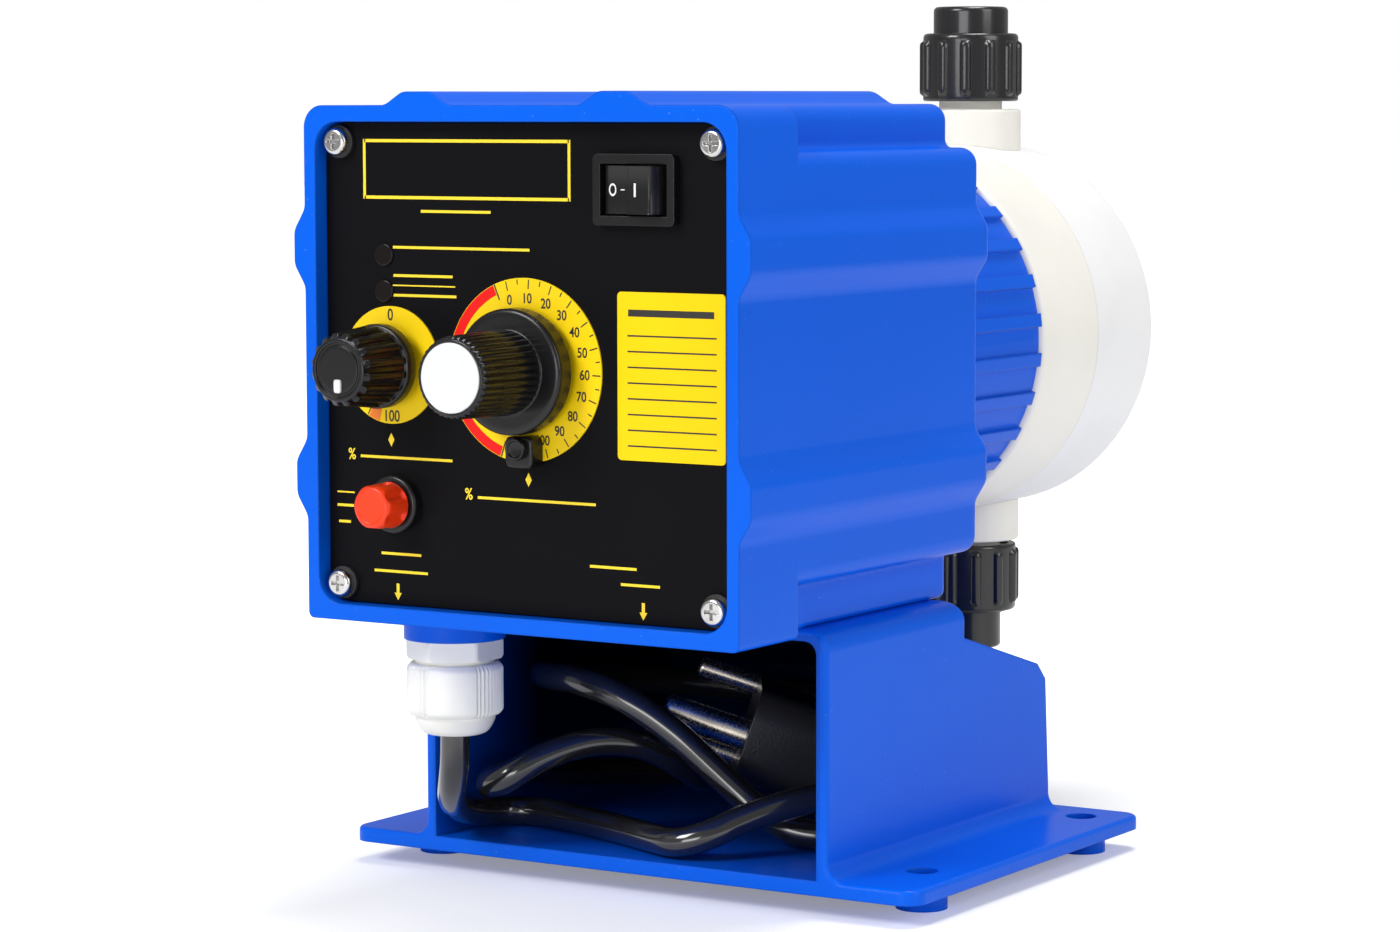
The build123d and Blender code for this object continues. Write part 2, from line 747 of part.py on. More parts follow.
def make_circuit_board():
    board = prism_y(rounded(2 * board_half_x, 2 * board_half_z, 2.0), board_y,
                    board_y + board_thickness, 0, axis_z)
    y0 = board_y - 1.0
    y1 = board_y + board_thickness + 1.0
    board -= rod_y(9.0, y0, y1)
    board -= rod_y(fuse_body_r + 0.5, y0, y1, fuse_x, axis_z - fuse_drop)
    notch_low = axis_z + rocker_rise - switch_height / 2 - 1.0
    board -= block(rocker_x - 11.0, board_half_x + 1.0, y0, y1, notch_low, axis_z + board_half_z + 1.0)
    board -= block(fuse_x - 7.0, fuse_x + 7.0, y0, y1, axis_z - board_half_z - 1.0,
                   axis_z - board_half_z + 6.0)
    for x, z in board_post_places():
        board -= rod_y(board_peg_r, y0, y1, x, z)
    return board


def make_board_parts():
    """Capacitor, transformer, terminal block and power switches on the board."""
    y = board_y + board_thickness
    parts = [
        rod_y(8.0, y, y + 18.0, 26.0, axis_z + 8.0),
        rod_y(5.0, y, y + 12.0, 26.0, axis_z - 10.0),
        block(-38.0, -20.0, y, y + 12.0, axis_z + 14.0, axis_z + 28.0),
        block(6.0, 34.0, y, y + 9.0, axis_z - 32.0, axis_z - 22.0),
        block(-40.0, -22.0, y, y + 5.0, axis_z - 16.0, axis_z - 4.0),
    ]
    return group(parts)


# ---------- solenoid ----------


def adapter_screw_places():
    r = (adapter_bore_r + adapter_r) / 2
    return [(r * cos(radians(a)), axis_z + r * sin(radians(a))) for a in (45, 135, 225, 315)]


def head_screw_places():
    r = head_screw_ring_r
    return [(r * cos(radians(a)), axis_z + r * sin(radians(a))) for a in (45, 135, 225, 315)]


def make_adapter():
    """The finned drum behind the housing that holds the solenoid."""
    drum = rod_y(adapter_r, rear_y, adapter_end_y)
    for i in range(adapter_fins):
        a = 360 * (i + 0.5) / adapter_fins
        fin = Pos(adapter_r, 0) * Rectangle(2 * adapter_fin_rise, adapter_fin_width)
        drum += prism_y(Rot(0, 0, a) * fin, rear_y, adapter_end_y - 0.4, 0, axis_z)
    drum -= rod_y(adapter_bore_r, rear_y - 1.0, can_end_y)
    drum -= rod_y(shaft_bush_r, can_end_y - 1.0, adapter_end_y + 1.0)
    for x, z in adapter_screw_places():
        drum -= rod_y(adapter_screw_d / 2, rear_y - 1.0, rear_y + 12.0, x, z)
    for x, z in head_screw_places():
        drum -= rod_y(head_screw_d / 2, head_screw_hole_end, adapter_end_y + 1.0, x, z)
    return drum


def make_adapter_screws():
    inside_end = rear_y - housing_wall
    screws = []
    for x, z in adapter_screw_places():
        head = rod_y(adapter_screw_head_r, inside_end - 3.0, inside_end, x, z)
        screws.append(head + rod_y(adapter_screw_d / 2, inside_end, rear_y + 11.0, x, z))
    return group(screws)


def make_shaft_bush():
    return tube_y(shaft_bush_r, shaft_r + running, can_end_y, adapter_end_y)


def make_solenoid_can():
    """The steel cup around the coil, closed at the head end."""
    can = rod_y(can_r, can_start_y, can_end_y)
    can -= rod_y(can_r - can_wall, can_start_y - 1.0, can_end_y - 5.0)
    return can - rod_y(plunger_r, can_end_y - 6.0, can_end_y + 1.0)


def make_solenoid_cover():
    """The steel ring that closes the cup around the plunger."""
    return tube_y(can_r - can_wall, plunger_r + 0.4, can_start_y, can_start_y + 4.0)


def make_coil_former():
    start = can_start_y + 4.0
    end = can_end_y - 5.0
    former = tube_y(coil_former_r, plunger_r + running, start, end)
    for y in (start, end - 2.0):
        former += tube_y(can_r - can_wall - 0.3, plunger_r + running, y, y + 2.0)
    return former


def make_coil():
    return tube_y(coil_r, coil_former_r, can_start_y + 6.0, can_end_y - 7.0)


def make_pole_piece():
    pole = rod_y(plunger_r, pole_face_y, can_end_y)
    pole -= rod_y(shaft_r + 1.0, pole_face_y - 1.0, can_end_y + 1.0)
    return pole - rod_y(spring_r + 1.2, pole_face_y - 1.0, pole_face_y + 12.0)


def make_plunger():
    end = pole_face_y - air_gap
    plunger = rod_y(plunger_r, plunger_start_y, end)
    plunger -= rod_y(spring_r + 1.2, end - 8.0, end + 1.0)
    return plunger - rod_y(shaft_r, end - 20.0, end + 1.0)


def make_return_spring():
    """The coil spring between the pole piece and the plunger."""
    start = pole_face_y - air_gap - 8.0 + spring_wire_r + slide_gap
    end = pole_face_y + 12.0 - spring_wire_r - slide_gap
    turns = 6
    path = Helix(pitch=(end - start) / turns, height=end - start, radius=spring_r)
    profile = Plane(origin=path @ 0, z_dir=path % 0) * Circle(spring_wire_r)
    coil = sweep(profile, path=path)
    return Pos(0, end, axis_z) * Rot(90, 0, 0) * coil


def make_drive_shaft():
    """The push rod from the plunger to the membrane's centre."""
    return rod_y(shaft_r, pole_face_y - air_gap - 20.0, hub_back_y)


# ---------- pump head ----------


def make_spacer():
    """The cream disc between the drum and the head."""
    spacer = rod_y(head_r, adapter_end_y, spacer_end_y)
    spacer = fillet(spacer.faces().sort_by(Axis.Y)[0].edges(), head_edge)
    spacer -= rod_y(shaft_r + 1.0, adapter_end_y - 1.0, spacer_end_y)
    spacer -= rod_y(chamber_r, hub_end_y - hub_thickness - 1.5, spacer_end_y + 1.0)
    spacer -= rod_y(membrane_r + slide_gap, membrane_y, spacer_end_y + 1.0)
    spacer -= rod_z(2.0, axis_z - head_r - 1.0, axis_z - chamber_r + 2.0, 0,
                    hub_end_y - hub_thickness)
    for x, z in head_screw_places():
        spacer -= rod_y(head_screw_d / 2 + 0.3, adapter_end_y - 1.0, spacer_end_y + 1.0, x, z)
    return spacer


def make_membrane():
    return rod_y(membrane_r, membrane_y, membrane_y + membrane_thickness)


def make_membrane_hub():
    """The plate on the push rod that backs the membrane's centre."""
    hub = rod_y(hub_r, hub_end_y - hub_thickness, hub_end_y)
    return hub - rod_y(shaft_r, hub_end_y - hub_thickness - 1.0, hub_back_y)


def make_pump_head():
    """The liquid end: chamber, cross bores and the two valve pockets."""
    head = rod_y(head_r, spacer_end_y, head_end_y)
    head = fillet(head.faces().sort_by(Axis.Y)[-1].edges(), head_edge)
    seat = membrane_y + membrane_thickness
    head -= rod_y(membrane_r + slide_gap, spacer_end_y - 1.0, seat)
    head -= rod_y(chamber_r, seat - 0.5, seat + chamber_depth)
    cross = chamber_r - 9.0
    for side in (-1, 1):
        z = axis_z + side * cross
        head -= rod_y(head_bore_r, seat, valve_y, 0, z)
        low, high = sorted((z, axis_z + side * (head_r - pocket_depth + 1.0)))
        head -= rod_z(head_bore_r, low, high, 0, valve_y)
        low, high = sorted((axis_z + side * (head_r - pocket_depth), axis_z + side * (head_r + 1.0)))
        head -= rod_z(pocket_r, low, high, 0, valve_y)
    for x, z in head_screw_places():
        head -= rod_y(head_screw_d / 2 + 0.3, spacer_end_y - 1.0, head_end_y + 1.0, x, z)
        head -= rod_y(head_washer_r + 0.1, head_end_y - head_screw_sink, head_end_y + 1.0, x, z)
    return head


def make_head_screws():
    """Socket-head screws through the head and spacer into the drum."""
    screws = []
    under = head_end_y - head_screw_sink + head_washer_thickness
    for x, z in head_screw_places():
        head = rod_y(head_screw_head_r, under, under + head_screw_d, x, z)
        head -= prism_y(RegularPolygon(2.3, 6), under + 2.5, under + head_screw_d + 1.0, x, z)
        screws.append(head + rod_y(head_screw_d / 2, head_screw_hole_end, under, x, z))
    return group(screws)


def make_head_washers():
    y = head_end_y - head_screw_sink
    washers = [tube_y(head_washer_r, head_screw_d / 2 + 0.3, y, y + head_washer_thickness,
                      x, z) for x, z in head_screw_places()]
    return group(washers)


# ---------- valves: built upwards for the discharge, then placed ----------


def ball_height():
    """How far a ball's centre sits above the edge it rests on."""
    return sqrt(ball_r ** 2 - ball_seat_r ** 2) + face_gap


def discharge_levels():
    collar_top = head_top + collar_height
    nut_bottom = collar_top + neck_height
    spigot_top = nut_bottom + 1.0 + spigot_height
    return collar_top, nut_bottom, spigot_top


def suction_levels():
    collar_bottom = head_floor - collar_height
    nut_top = collar_bottom - neck_height / 2
    spigot_bottom = nut_top - 1.0 - spigot_height
    return collar_bottom, nut_top, spigot_bottom


def collar_ring(z0, z1):
    """The collar, cut where it sits down over the round head."""
    ring = rod_z(collar_r, z0, z1, 0, valve_y)
    ring = fillet(ring.faces().sort_by(Axis.Z)[-1].edges(), 0.8)
    ring = fillet(ring.faces().sort_by(Axis.Z)[0].edges(), 0.8)
    return ring - rod_y(head_r, spacer_end_y - 5.0, head_end_y + 5.0)


def make_discharge_body():
    collar_top, nut_bottom, spigot_top = discharge_levels()
    body = rod_z(pocket_r, head_top - pocket_depth + 1.5, head_top + 1.0, 0, valve_y)
    body += collar_ring(head_top - 3.0, collar_top)
    body += rod_z(neck_r, collar_top - 1.0, nut_bottom + 2.0, 0, valve_y)
    body += rod_z(spigot_r, nut_bottom + 1.0, spigot_top, 0, valve_y)
    seat = discharge_seat()
    body -= rod_z(ball_seat_r, head_top - pocket_depth, seat + 1.0, 0, valve_y)
    return body - rod_z(ball_room_r, seat, spigot_top + 1.0, 0, valve_y)


def discharge_seat():
    spigot_top = discharge_levels()[2]
    return spigot_top - ball_height() - ball_r - ball_lift


def make_suction_body():
    collar_bottom, nut_top, spigot_bottom = suction_levels()
    body = rod_z(pocket_r, head_floor - 1.0, head_floor + pocket_depth - 1.5, 0, valve_y)
    body += collar_ring(collar_bottom, head_floor + 3.0)
    body += rod_z(neck_r, nut_top - 2.0, collar_bottom + 1.0, 0, valve_y)
    body += rod_z(spigot_r, spigot_bottom, nut_top - 1.0, 0, valve_y)
    seat = suction_seat()
    body -= rod_z(ball_seat_r, spigot_bottom - 1.0, seat + 1.0, 0, valve_y)
    return body - rod_z(ball_room_r, seat, head_floor + pocket_depth, 0, valve_y)


def suction_seat():
    top = head_floor + pocket_depth - 1.5
    return top - ball_height() - ball_r - ball_lift


def make_ball(seat):
    return Pos(0, valve_y, seat + ball_height()) * Sphere(ball_r)


def make_union_nut(z0, z1, lip_at_top):
    """A ribbed union nut: open at the thread end, with a lip round the port tube."""
    nut = rod_z(nut_r, z0, z1, 0, valve_y)
    rib_end = 1.6
    for i in range(nut_ribs):
        a = nut_rib_turn + 360 * i / nut_ribs
        rib = Pos(0, valve_y, z0 + rib_end) * Rot(0, 0, a) * Pos(nut_r - 0.6, 0, 0)
        nut += rib * Cylinder(nut_rib_rise + 0.6, z1 - z0 - 2 * rib_end,
                              align=(Align.CENTER, Align.CENTER, Align.MIN))
    bore = (z0 - 1.0, z1 - 2.5) if lip_at_top else (z0 + 2.5, z1 + 1.0)
    nut -= rod_z(spigot_r + running, bore[0], bore[1], 0, valve_y)
    return nut - rod_z(port_tube_r + running, z0 - 1.0, z1 + 1.0, 0, valve_y)


def make_union_nuts():
    nut_bottom = discharge_levels()[1]
    nut_top = suction_levels()[1]
    return group([make_union_nut(nut_bottom, nut_bottom + nut_height, True),
                  make_union_nut(nut_top - nut_height, nut_top, False)])


def make_valve_seals():
    """The flat rings that seal each port piece to its valve."""
    upper = discharge_levels()[2]
    lower = suction_levels()[2]
    return group([tube_z(spigot_r - 0.5, ball_room_r, z, z + seal_thickness, 0, valve_y)
                  for z in (upper, lower - seal_thickness)])


def make_discharge_port():
    """The port piece that the union nut clamps on the discharge valve."""
    collar_top, nut_bottom, spigot_top = discharge_levels()
    flange = spigot_top + seal_thickness
    nut_end = nut_bottom + nut_height
    top = nut_end + discharge_tube_height
    port = rod_z(spigot_r - 0.2, flange, nut_end - 2.5, 0, valve_y)
    tube = rod_z(port_tube_r, flange + 1.0, top, 0, valve_y)
    tube = fillet(tube.faces().sort_by(Axis.Z)[-1].edges(), 1.2)
    port += tube
    stop = flange - seal_thickness
    port += rod_z(ball_room_r - running, stop, flange + 1.0, 0, valve_y)
    port -= rod_z(ball_seat_r, stop - 1.0, top, 0, valve_y)
    return port - rod_z(port_bore_r, flange + 3.0, top + 1.0, 0, valve_y)


def make_suction_port():
    """The port piece under the suction valve."""
    collar_bottom, nut_top, spigot_bottom = suction_levels()
    flange = spigot_bottom - seal_thickness
    nut_end = nut_top - nut_height
    bottom = nut_end - suction_tube_height
    port = rod_z(spigot_r - 0.2, nut_end + 2.5, flange, 0, valve_y)
    tube = rod_z(port_tube_r - 1.2, bottom, flange - 1.0, 0, valve_y)
    tube = fillet(tube.faces().sort_by(Axis.Z)[0].edges(), 1.0)
    port += tube
    port += rod_z(port_tube_r, nut_end - 0.5, flange - 1.0, 0, valve_y)
    return port - rod_z(port_bore_r, bottom - 1.0, flange + 1.0, 0, valve_y)


# ---------- cable gland ----------
def hexagon_z(flats, z0, z1):
    plane = Plane(origin=(gland_x, gland_y, z0))
    return extrude(plane * RegularPolygon(flats / 2, 6, major_radius=False), amount=z1 - z0)


def gland_levels():
    seat = housing_bottom - gland_boss_height
    hex_bottom = seat - gland_hex_height
    nut_bottom = hex_bottom - gland_nut_height
    return seat, hex_bottom, nut_bottom


def make_gland_body():
    """Hexagon, upper thread through the housing and lower thread for the dome nut."""
    seat, hex_bottom, nut_bottom = gland_levels()
    body = hexagon_z(gland_hex_flats, hex_bottom, seat)
    body += rod_z(gland_thread_r, seat - 1.0, housing_bottom + housing_wall + 5.0, gland_x, gland_y)
    body += rod_z(gland_thread_r, nut_bottom + 3.0, hex_bottom + 1.0, gland_x, gland_y)
    return body - rod_z(gland_inner_r, nut_bottom, housing_bottom + housing_wall + 6.0,
                        gland_x, gland_y)


def make_gland_locknut():
    low = housing_bottom + housing_wall
    nut = hexagon_z(gland_hex_flats - 2.0, low, low + 4.0)
    return nut - rod_z(gland_thread_r, low - 1.0, low + 5.0, gland_x, gland_y)


def make_gland_nut():
    """The domed, fluted compression nut."""
    seat, hex_bottom, nut_bottom = gland_levels()
    nut = rod_z(gland_nut_r, nut_bottom, hex_bottom, gland_x, gland_y)
    dome = rod_z(gland_hex_flats / 2 - 1.2, nut_bottom - gland_dome_height, nut_bottom + 0.5,
                 gland_x, gland_y)
    nut += fillet(dome.faces().sort_by(Axis.Z)[0].edges(), gland_dome_height - 0.4)
    nut -= rod_z(gland_thread_r, nut_bottom + 3.0, hex_bottom + 1.0, gland_x, gland_y)
    nut -= rod_z(gland_inner_r, nut_bottom + 0.8, nut_bottom + 4.0, gland_x, gland_y)
    return nut - rod_z(cord_r + 0.4, nut_bottom - gland_dome_height - 1.0, nut_bottom + 2.0,
                       gland_x, gland_y)


def make_gland_seal():
    """The rubber sleeve that the dome nut squeezes round the lead."""
    nut_bottom = gland_levels()[2]
    return tube_z(gland_inner_r, cord_r, nut_bottom + 0.8, nut_bottom + 12.0, gland_x, gland_y)


# ---------- mains lead and plug ----------
def cord_points():
    """The lead's route: out of the gland, twice round the base, to the plug."""
    start = gland_levels()[2] + 12.0
    return [
        (gland_x, gland_y, start),
        (gland_x, gland_y, 33.0),
        (-36.2, -78.0, 26.0),
        (-40.8, -72.5, 20.4),
        (-45.0, -64.5, 16.2),
        (-47.6, -55.0, 13.6),
        (-47.6, -46.0, 12.2),
        (-42.5, -39.8, 12.0),
        (-33.0, -40.6, 12.0),
        (-20.0, -44.6, 12.0),
        (-7.0, -49.6, 12.0),
        (4.5, -55.0, 12.0),
        (12.5, -58.4, 12.2),
        (19.5, -55.6, 14.4),
        (24.5, -49.0, 17.6),
        (32.0, -41.8, 20.6),
        (41.5, -32.0, 22.8),
        (48.2, -15.0, 24.5),
        (48.4, 3.0, 26.0),
        (43.0, 20.0, 27.6),
        (26.0, 32.8, 29.2),
        (8.0, 36.0, 31.0),
        (-12.0, 34.0, 33.0),
        (-31.0, 26.5, 35.0),
        (-43.5, 12.5, 37.3),
        (-48.0, -6.0, 40.2),
        (-46.5, -24.0, 43.0),
        (-38.5, -38.5, 45.0),
        (-24.0, -44.5, 45.6),
        (-10.5, -43.5, 42.0),
        (0.5, -40.5, 34.6),
        (10.0, -37.0, 25.4),
        (19.5, -34.0, 16.6),
        (30.5, -34.0, 12.0),
        (42.5, -27.0, 12.0),
        (48.3, -12.0, 12.0),
        (47.3, 6.0, 12.0),
        (39.5, 22.5, 12.0),
        (24.5, 33.0, 12.0),
        (5.5, 36.0, 12.0),
        (-14.0, 33.5, 12.2),
        (-32.0, 25.0, 12.7),
        (-44.0, 9.5, 14.0),
        (-48.2, -10.0, 16.4),
        (-48.0, -29.0, 19.6),
        (-46.8, -42.0, 21.2),
        (-44.8, -51.2, 20.4),
        (-40.4, -57.6, 20.8),
        (-33.8, -58.8, 23.6),
        (-28.2, -53.0, 28.4),
        (-20.0, -42.5, 31.6),
        (-11.5, -33.5, 29.6),
        (-8.0, -23.0, 23.4),
        (-10.0, -11.5, 18.2),
        (-15.5, -0.5, 16.6),
        (-20.5, 10.5, 17.4),
        (-18.0, 21.5, 18.8),
        (-9.5, 28.0, 20.6),
        (0.5, 29.0, 23.0),
    ]


def plug_frame():
    """The plug's own plane: its origin is on the face, z points along the pins."""
    tilt = radians(-19.0)
    heading = radians(32.0)
    out = (-cos(heading) * cos(tilt), -sin(heading) * cos(tilt), -sin(tilt))
    across = (-sin(heading), cos(heading), 0)
    return Plane(origin=(3.2, -12.8, 32.2), x_dir=across, z_dir=out)


def plug_exit():
    """Where the lead enters the plug's strain relief, and the way it points."""
    frame = plug_frame()
    place = frame.from_local_coords(Vector(plug_side(relief_back) + relief_length, 0, -relief_back))
    return place, frame.x_dir


def plug_side(back):
    """Half the plug's width at a distance behind its face."""
    return plug_width / 2 + (plug_rear_width - plug_width) / 2 * back / plug_length


def cord_path():
    place, way = plug_exit()
    points = [Vector(*p) for p in cord_points()]
    points += [place + way * 5.0, place]
    radii = []
    for before, at, after in zip(points, points[1:], points[2:]):
        turn = (at - before).get_angle(after - at)
        shorter = min((at - before).length, (after - at).length)
        radii.append(0.45 * shorter / tan(radians(turn) / 2))
    return points, radii


def make_mains_lead():
    points, radii = cord_path()
    print("lead bend radii:", [round(r, 1) for r in radii])
    path = FilletPolyline(*points, radius=radii)
    start = Plane(origin=points[0], z_dir=points[1] - points[0])
    lead = sweep(start * Circle(cord_r), path=path)
    print("lead length", round(path.length, 1), "volume", round(lead.volume, 1),
          "section times length", round(pi * cord_r ** 2 * path.length, 1))
    return lead


def make_plug_body():
    """The moulded plug: a wedge-shaped grip with its strain relief on one side."""
    frame = plug_frame()
    face = frame * rounded(plug_width, plug_thickness, 7.0)
    rear = frame.offset(-plug_length) * rounded(plug_rear_width, plug_thickness - 1.0, 7.0)
    body = loft([face, rear])
    place, way = plug_exit()
    relief_plane = Plane(origin=place, z_dir=way * -1)
    body += extrude(relief_plane * Circle(relief_r), amount=relief_length + 5.0)
    return body


def make_plug_pins():
    """The earth pin on the near side and the two smaller pins on the far side."""
    frame = plug_frame()
    pins = [(-11.1, 0.0, earth_pin_r, earth_pin_length), (11.1, 9.0, line_pin_r, line_pin_length),
            (11.1, -9.0, line_pin_r, line_pin_length)]
    solids = []
    for across, up, r, length in pins:
        pin = extrude(frame * (Pos(across, up) * Circle(r)), amount=length)
        solids.append(fillet(pin.faces().sort_by(Axis(frame.origin, frame.z_dir))[-1].edges(), r * 0.4))
    return group(solids)


# ---------- every sub-part, by its node name ----------
nodes = {
    "housing": make_housing,
    "base": make_base,
    "base_screws": make_base_screws,
    "panel_gasket": make_panel_gasket,
    "control_panel": make_control_panel,
    "panel_screws": make_panel_screws,
    "panel_screw_washers": make_panel_washers,
    "panel_nuts": make_panel_nuts,
    "dial_rings": make_dial_rings,
    "rating_label": make_rating_label,
    "stroke_knob": make_stroke_knob,
    "stroke_knob_cap": make_stroke_knob_cap,
    "stroke_bush": make_stroke_bush,
    "stroke_stop_rod": make_stroke_stop,
    "stroke_lock_peg": make_lock_peg,
    "speed_knob": make_speed_knob,
    "speed_pot": make_speed_pot,
    "speed_pot_shaft": make_speed_shaft,
    "fuse_holder": make_fuse_holder,
    "fuse_cap": make_fuse_cap,
    "fuse": make_fuse,
    "switch_body": make_switch_body,
    "rocker": make_rocker,
    "switch_terminals": make_switch_terminals,
    "signal_lamps": make_lamps,
    "board_posts": make_board_posts,
    "circuit_board": make_circuit_board,
    "board_parts": make_board_parts,
    "finned_drum": make_adapter,
    "drum_screws": make_adapter_screws,
    "shaft_bush": make_shaft_bush,
    "solenoid_can": make_solenoid_can,
    "solenoid_cover": make_solenoid_cover,
    "coil_former": make_coil_former,
    "solenoid_coil": make_coil,
    "pole_piece": make_pole_piece,
    "plunger": make_plunger,
    "return_spring": make_return_spring,
    "drive_shaft": make_drive_shaft,
    "spacer_disc": make_spacer,
    "membrane": make_membrane,
    "membrane_hub": make_membrane_hub,
    "pump_head": make_pump_head,
    "head_screws": make_head_screws,
    "head_screw_washers": make_head_washers,
    "discharge_valve_body": make_discharge_body,
    "suction_valve_body": make_suction_body,
    "discharge_ball": lambda: make_ball(discharge_seat()),
    "suction_ball": lambda: make_ball(suction_seat()),
    "valve_seals": make_valve_seals,
    "union_nuts": make_union_nuts,
    "discharge_port": make_discharge_port,
    "suction_port": make_suction_port,
    "gland_body": make_gland_body,
    "gland_locknut": make_gland_locknut,
    "gland_nut": make_gland_nut,
    "gland_seal": make_gland_seal,
    "mains_lead": make_mains_lead,
    "plug_body": make_plug_body,
    "plug_pins": make_plug_pins,
}

os.makedirs("parts", exist_ok=True)
for name, make in nodes.items():
    export_step(make(), "parts/" + name + ".step")
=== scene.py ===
# %% [markdown]
# # A diaphragm metering pump
#
# The pump is a blue casting with a dial panel in front, a finned drum and a round plastic head
# behind, and two ball valves in line with the head. The solids of the frame already have their
# size and place. This script dresses them: it gives each one its finish, and where a moulded or
# printed surface needs more shape than a solid carries, it makes that surface anew.

# %% The frame
import json

import bmesh
import bpy
import numpy as np
from mathutils import Matrix, Vector


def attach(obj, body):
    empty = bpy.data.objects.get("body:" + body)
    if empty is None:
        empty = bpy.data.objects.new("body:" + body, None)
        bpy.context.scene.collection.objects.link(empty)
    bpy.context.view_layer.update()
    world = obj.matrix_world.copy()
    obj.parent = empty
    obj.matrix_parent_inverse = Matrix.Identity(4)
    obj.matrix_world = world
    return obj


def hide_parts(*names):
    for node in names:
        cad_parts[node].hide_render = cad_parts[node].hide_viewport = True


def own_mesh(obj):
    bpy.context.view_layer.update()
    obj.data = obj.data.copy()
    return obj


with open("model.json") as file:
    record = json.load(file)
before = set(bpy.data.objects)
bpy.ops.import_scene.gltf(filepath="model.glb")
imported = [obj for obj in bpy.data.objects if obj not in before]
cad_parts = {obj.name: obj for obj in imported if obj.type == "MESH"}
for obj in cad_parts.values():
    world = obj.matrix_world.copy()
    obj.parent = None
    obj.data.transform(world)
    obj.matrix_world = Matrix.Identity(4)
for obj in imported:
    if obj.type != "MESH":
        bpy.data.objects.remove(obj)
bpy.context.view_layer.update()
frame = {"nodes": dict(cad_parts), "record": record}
mm = 0.001

# %% [markdown]
# ## The camera
#
# A lens of about 100 mm looks slightly down at the pump's front right corner. The direction is
# given by an azimuth round the vertical and an elevation, and the camera is rolled a tenth of
# a degree, so its right and up are worked out from those three angles.

# %% The camera
lens = 101.5
sensor = 36.0
azimuth = np.radians(32.07)
elevation = np.radians(5.294)
roll = np.radians(-0.109)
camera_distance = 909.24 * mm
camera_target = Vector((10.02, -44.2, 97.84)) * mm

towards = Vector((np.sin(azimuth) * np.cos(elevation), -np.cos(azimuth) * np.cos(elevation),
                  np.sin(elevation)))
level_right = Vector((np.cos(azimuth), np.sin(azimuth), 0))
level_up = towards.cross(level_right)
right = level_right * np.cos(roll) + level_up * np.sin(roll)
up = level_up * np.cos(roll) - level_right * np.sin(roll)

camera_data = bpy.data.cameras.new("camera")
camera_data.lens = lens
camera_data.sensor_width = sensor
camera_data.clip_start = 10 * mm
camera = bpy.data.objects.new("camera", camera_data)
camera.matrix_world = Matrix.Translation(camera_target + towards * camera_distance) @ Matrix(
    (right, up, towards)).transposed().to_4x4()
bpy.context.scene.collection.objects.link(camera)
bpy.context.scene.camera = camera
print("camera at", [round(c, 4) for c in camera.matrix_world.translation])

# %% [markdown]
# ## The mains lead
#
# The lead is a round PVC cord of 6.8 mm that leaves the gland, goes round inside the base and
# ends in its plug. A NURBS curve through listed points bends as smoothly as a stiff sheath
# does. Its order is set after its points, because a spline with too few points drops to
# straight runs.

# %% The mains lead
cord_r = 3.4 * mm
cord_route = [
    (-33.9, -80.2, 53.6), (-33.9, -80.2, 33.0), (-36.2, -78.0, 26.0), (-40.8, -72.5, 20.4),
    (-45.0, -64.5, 16.2), (-47.6, -55.0, 13.6), (-47.6, -46.0, 12.2), (-42.5, -39.8, 12.0),
    (-33.0, -40.6, 12.0), (-20.0, -44.6, 12.0), (-7.0, -49.6, 12.0), (4.5, -55.0, 12.0),
    (12.5, -58.4, 12.2), (19.5, -55.6, 14.4), (24.5, -49.0, 17.6), (32.0, -41.8, 20.6),
    (41.5, -32.0, 22.8), (48.2, -15.0, 24.5), (48.4, 3.0, 26.0), (43.0, 20.0, 27.6),
    (26.0, 32.8, 29.2), (8.0, 36.0, 31.0), (-12.0, 34.0, 33.0), (-31.0, 26.5, 35.0),
    (-43.5, 12.5, 37.3), (-48.0, -6.0, 40.2), (-46.5, -24.0, 43.0), (-38.5, -38.5, 45.0),
    (-24.0, -44.5, 45.6), (-10.5, -43.5, 42.0), (0.5, -40.5, 34.6), (10.0, -37.0, 25.4),
    (19.5, -34.0, 16.6), (30.5, -34.0, 12.0), (42.5, -27.0, 12.0), (48.3, -12.0, 12.0),
    (47.3, 6.0, 12.0), (39.5, 22.5, 12.0), (24.5, 33.0, 12.0), (5.5, 36.0, 12.0),
    (-14.0, 33.5, 12.2), (-32.0, 25.0, 12.7), (-44.0, 9.5, 14.0), (-48.2, -10.0, 16.4),
    (-48.0, -29.0, 19.6), (-46.8, -42.0, 21.2), (-44.8, -51.2, 20.4), (-40.4, -57.6, 20.8),
    (-33.8, -58.8, 23.6), (-28.2, -53.0, 28.4), (-20.0, -42.5, 31.6), (-11.5, -33.5, 29.6),
    (-8.0, -23.0, 23.4), (-10.0, -11.5, 18.2), (-15.5, -0.5, 16.6), (-20.5, 10.5, 17.4),
    (-18.0, 21.5, 18.8), (-9.5, 28.0, 20.6), (0.5, 29.0, 23.0),
]
cord_end = [(6.86, 24.16, 24.39), (9.51, 19.92, 24.39)]


def nurbs_lead(name, route, r):
    """A round cord: a spline of order 3 whose control points are the route.

    Its bevel is 1 m at a point radius of 1, and each point's radius is the cord's."""
    curve = bpy.data.curves.new(name, "CURVE")
    curve.dimensions = "3D"
    curve.bevel_depth = 1.0
    curve.bevel_resolution = 6
    curve.resolution_u = 10
    spline = curve.splines.new("NURBS")
    spline.points.add(len(route) - 1)
    points = np.ones((len(route), 4))
    points[:, :3] = np.array(route) * mm
    spline.points.foreach_set("co", points.ravel())
    spline.points.foreach_set("radius", np.full(len(route), r))
    spline.order_u = 3
    spline.use_endpoint_u = True
    spline.use_smooth = True
    curve.use_fill_caps = True
    piece = bpy.data.objects.new(name, curve)
    bpy.context.scene.collection.objects.link(piece)
    return piece


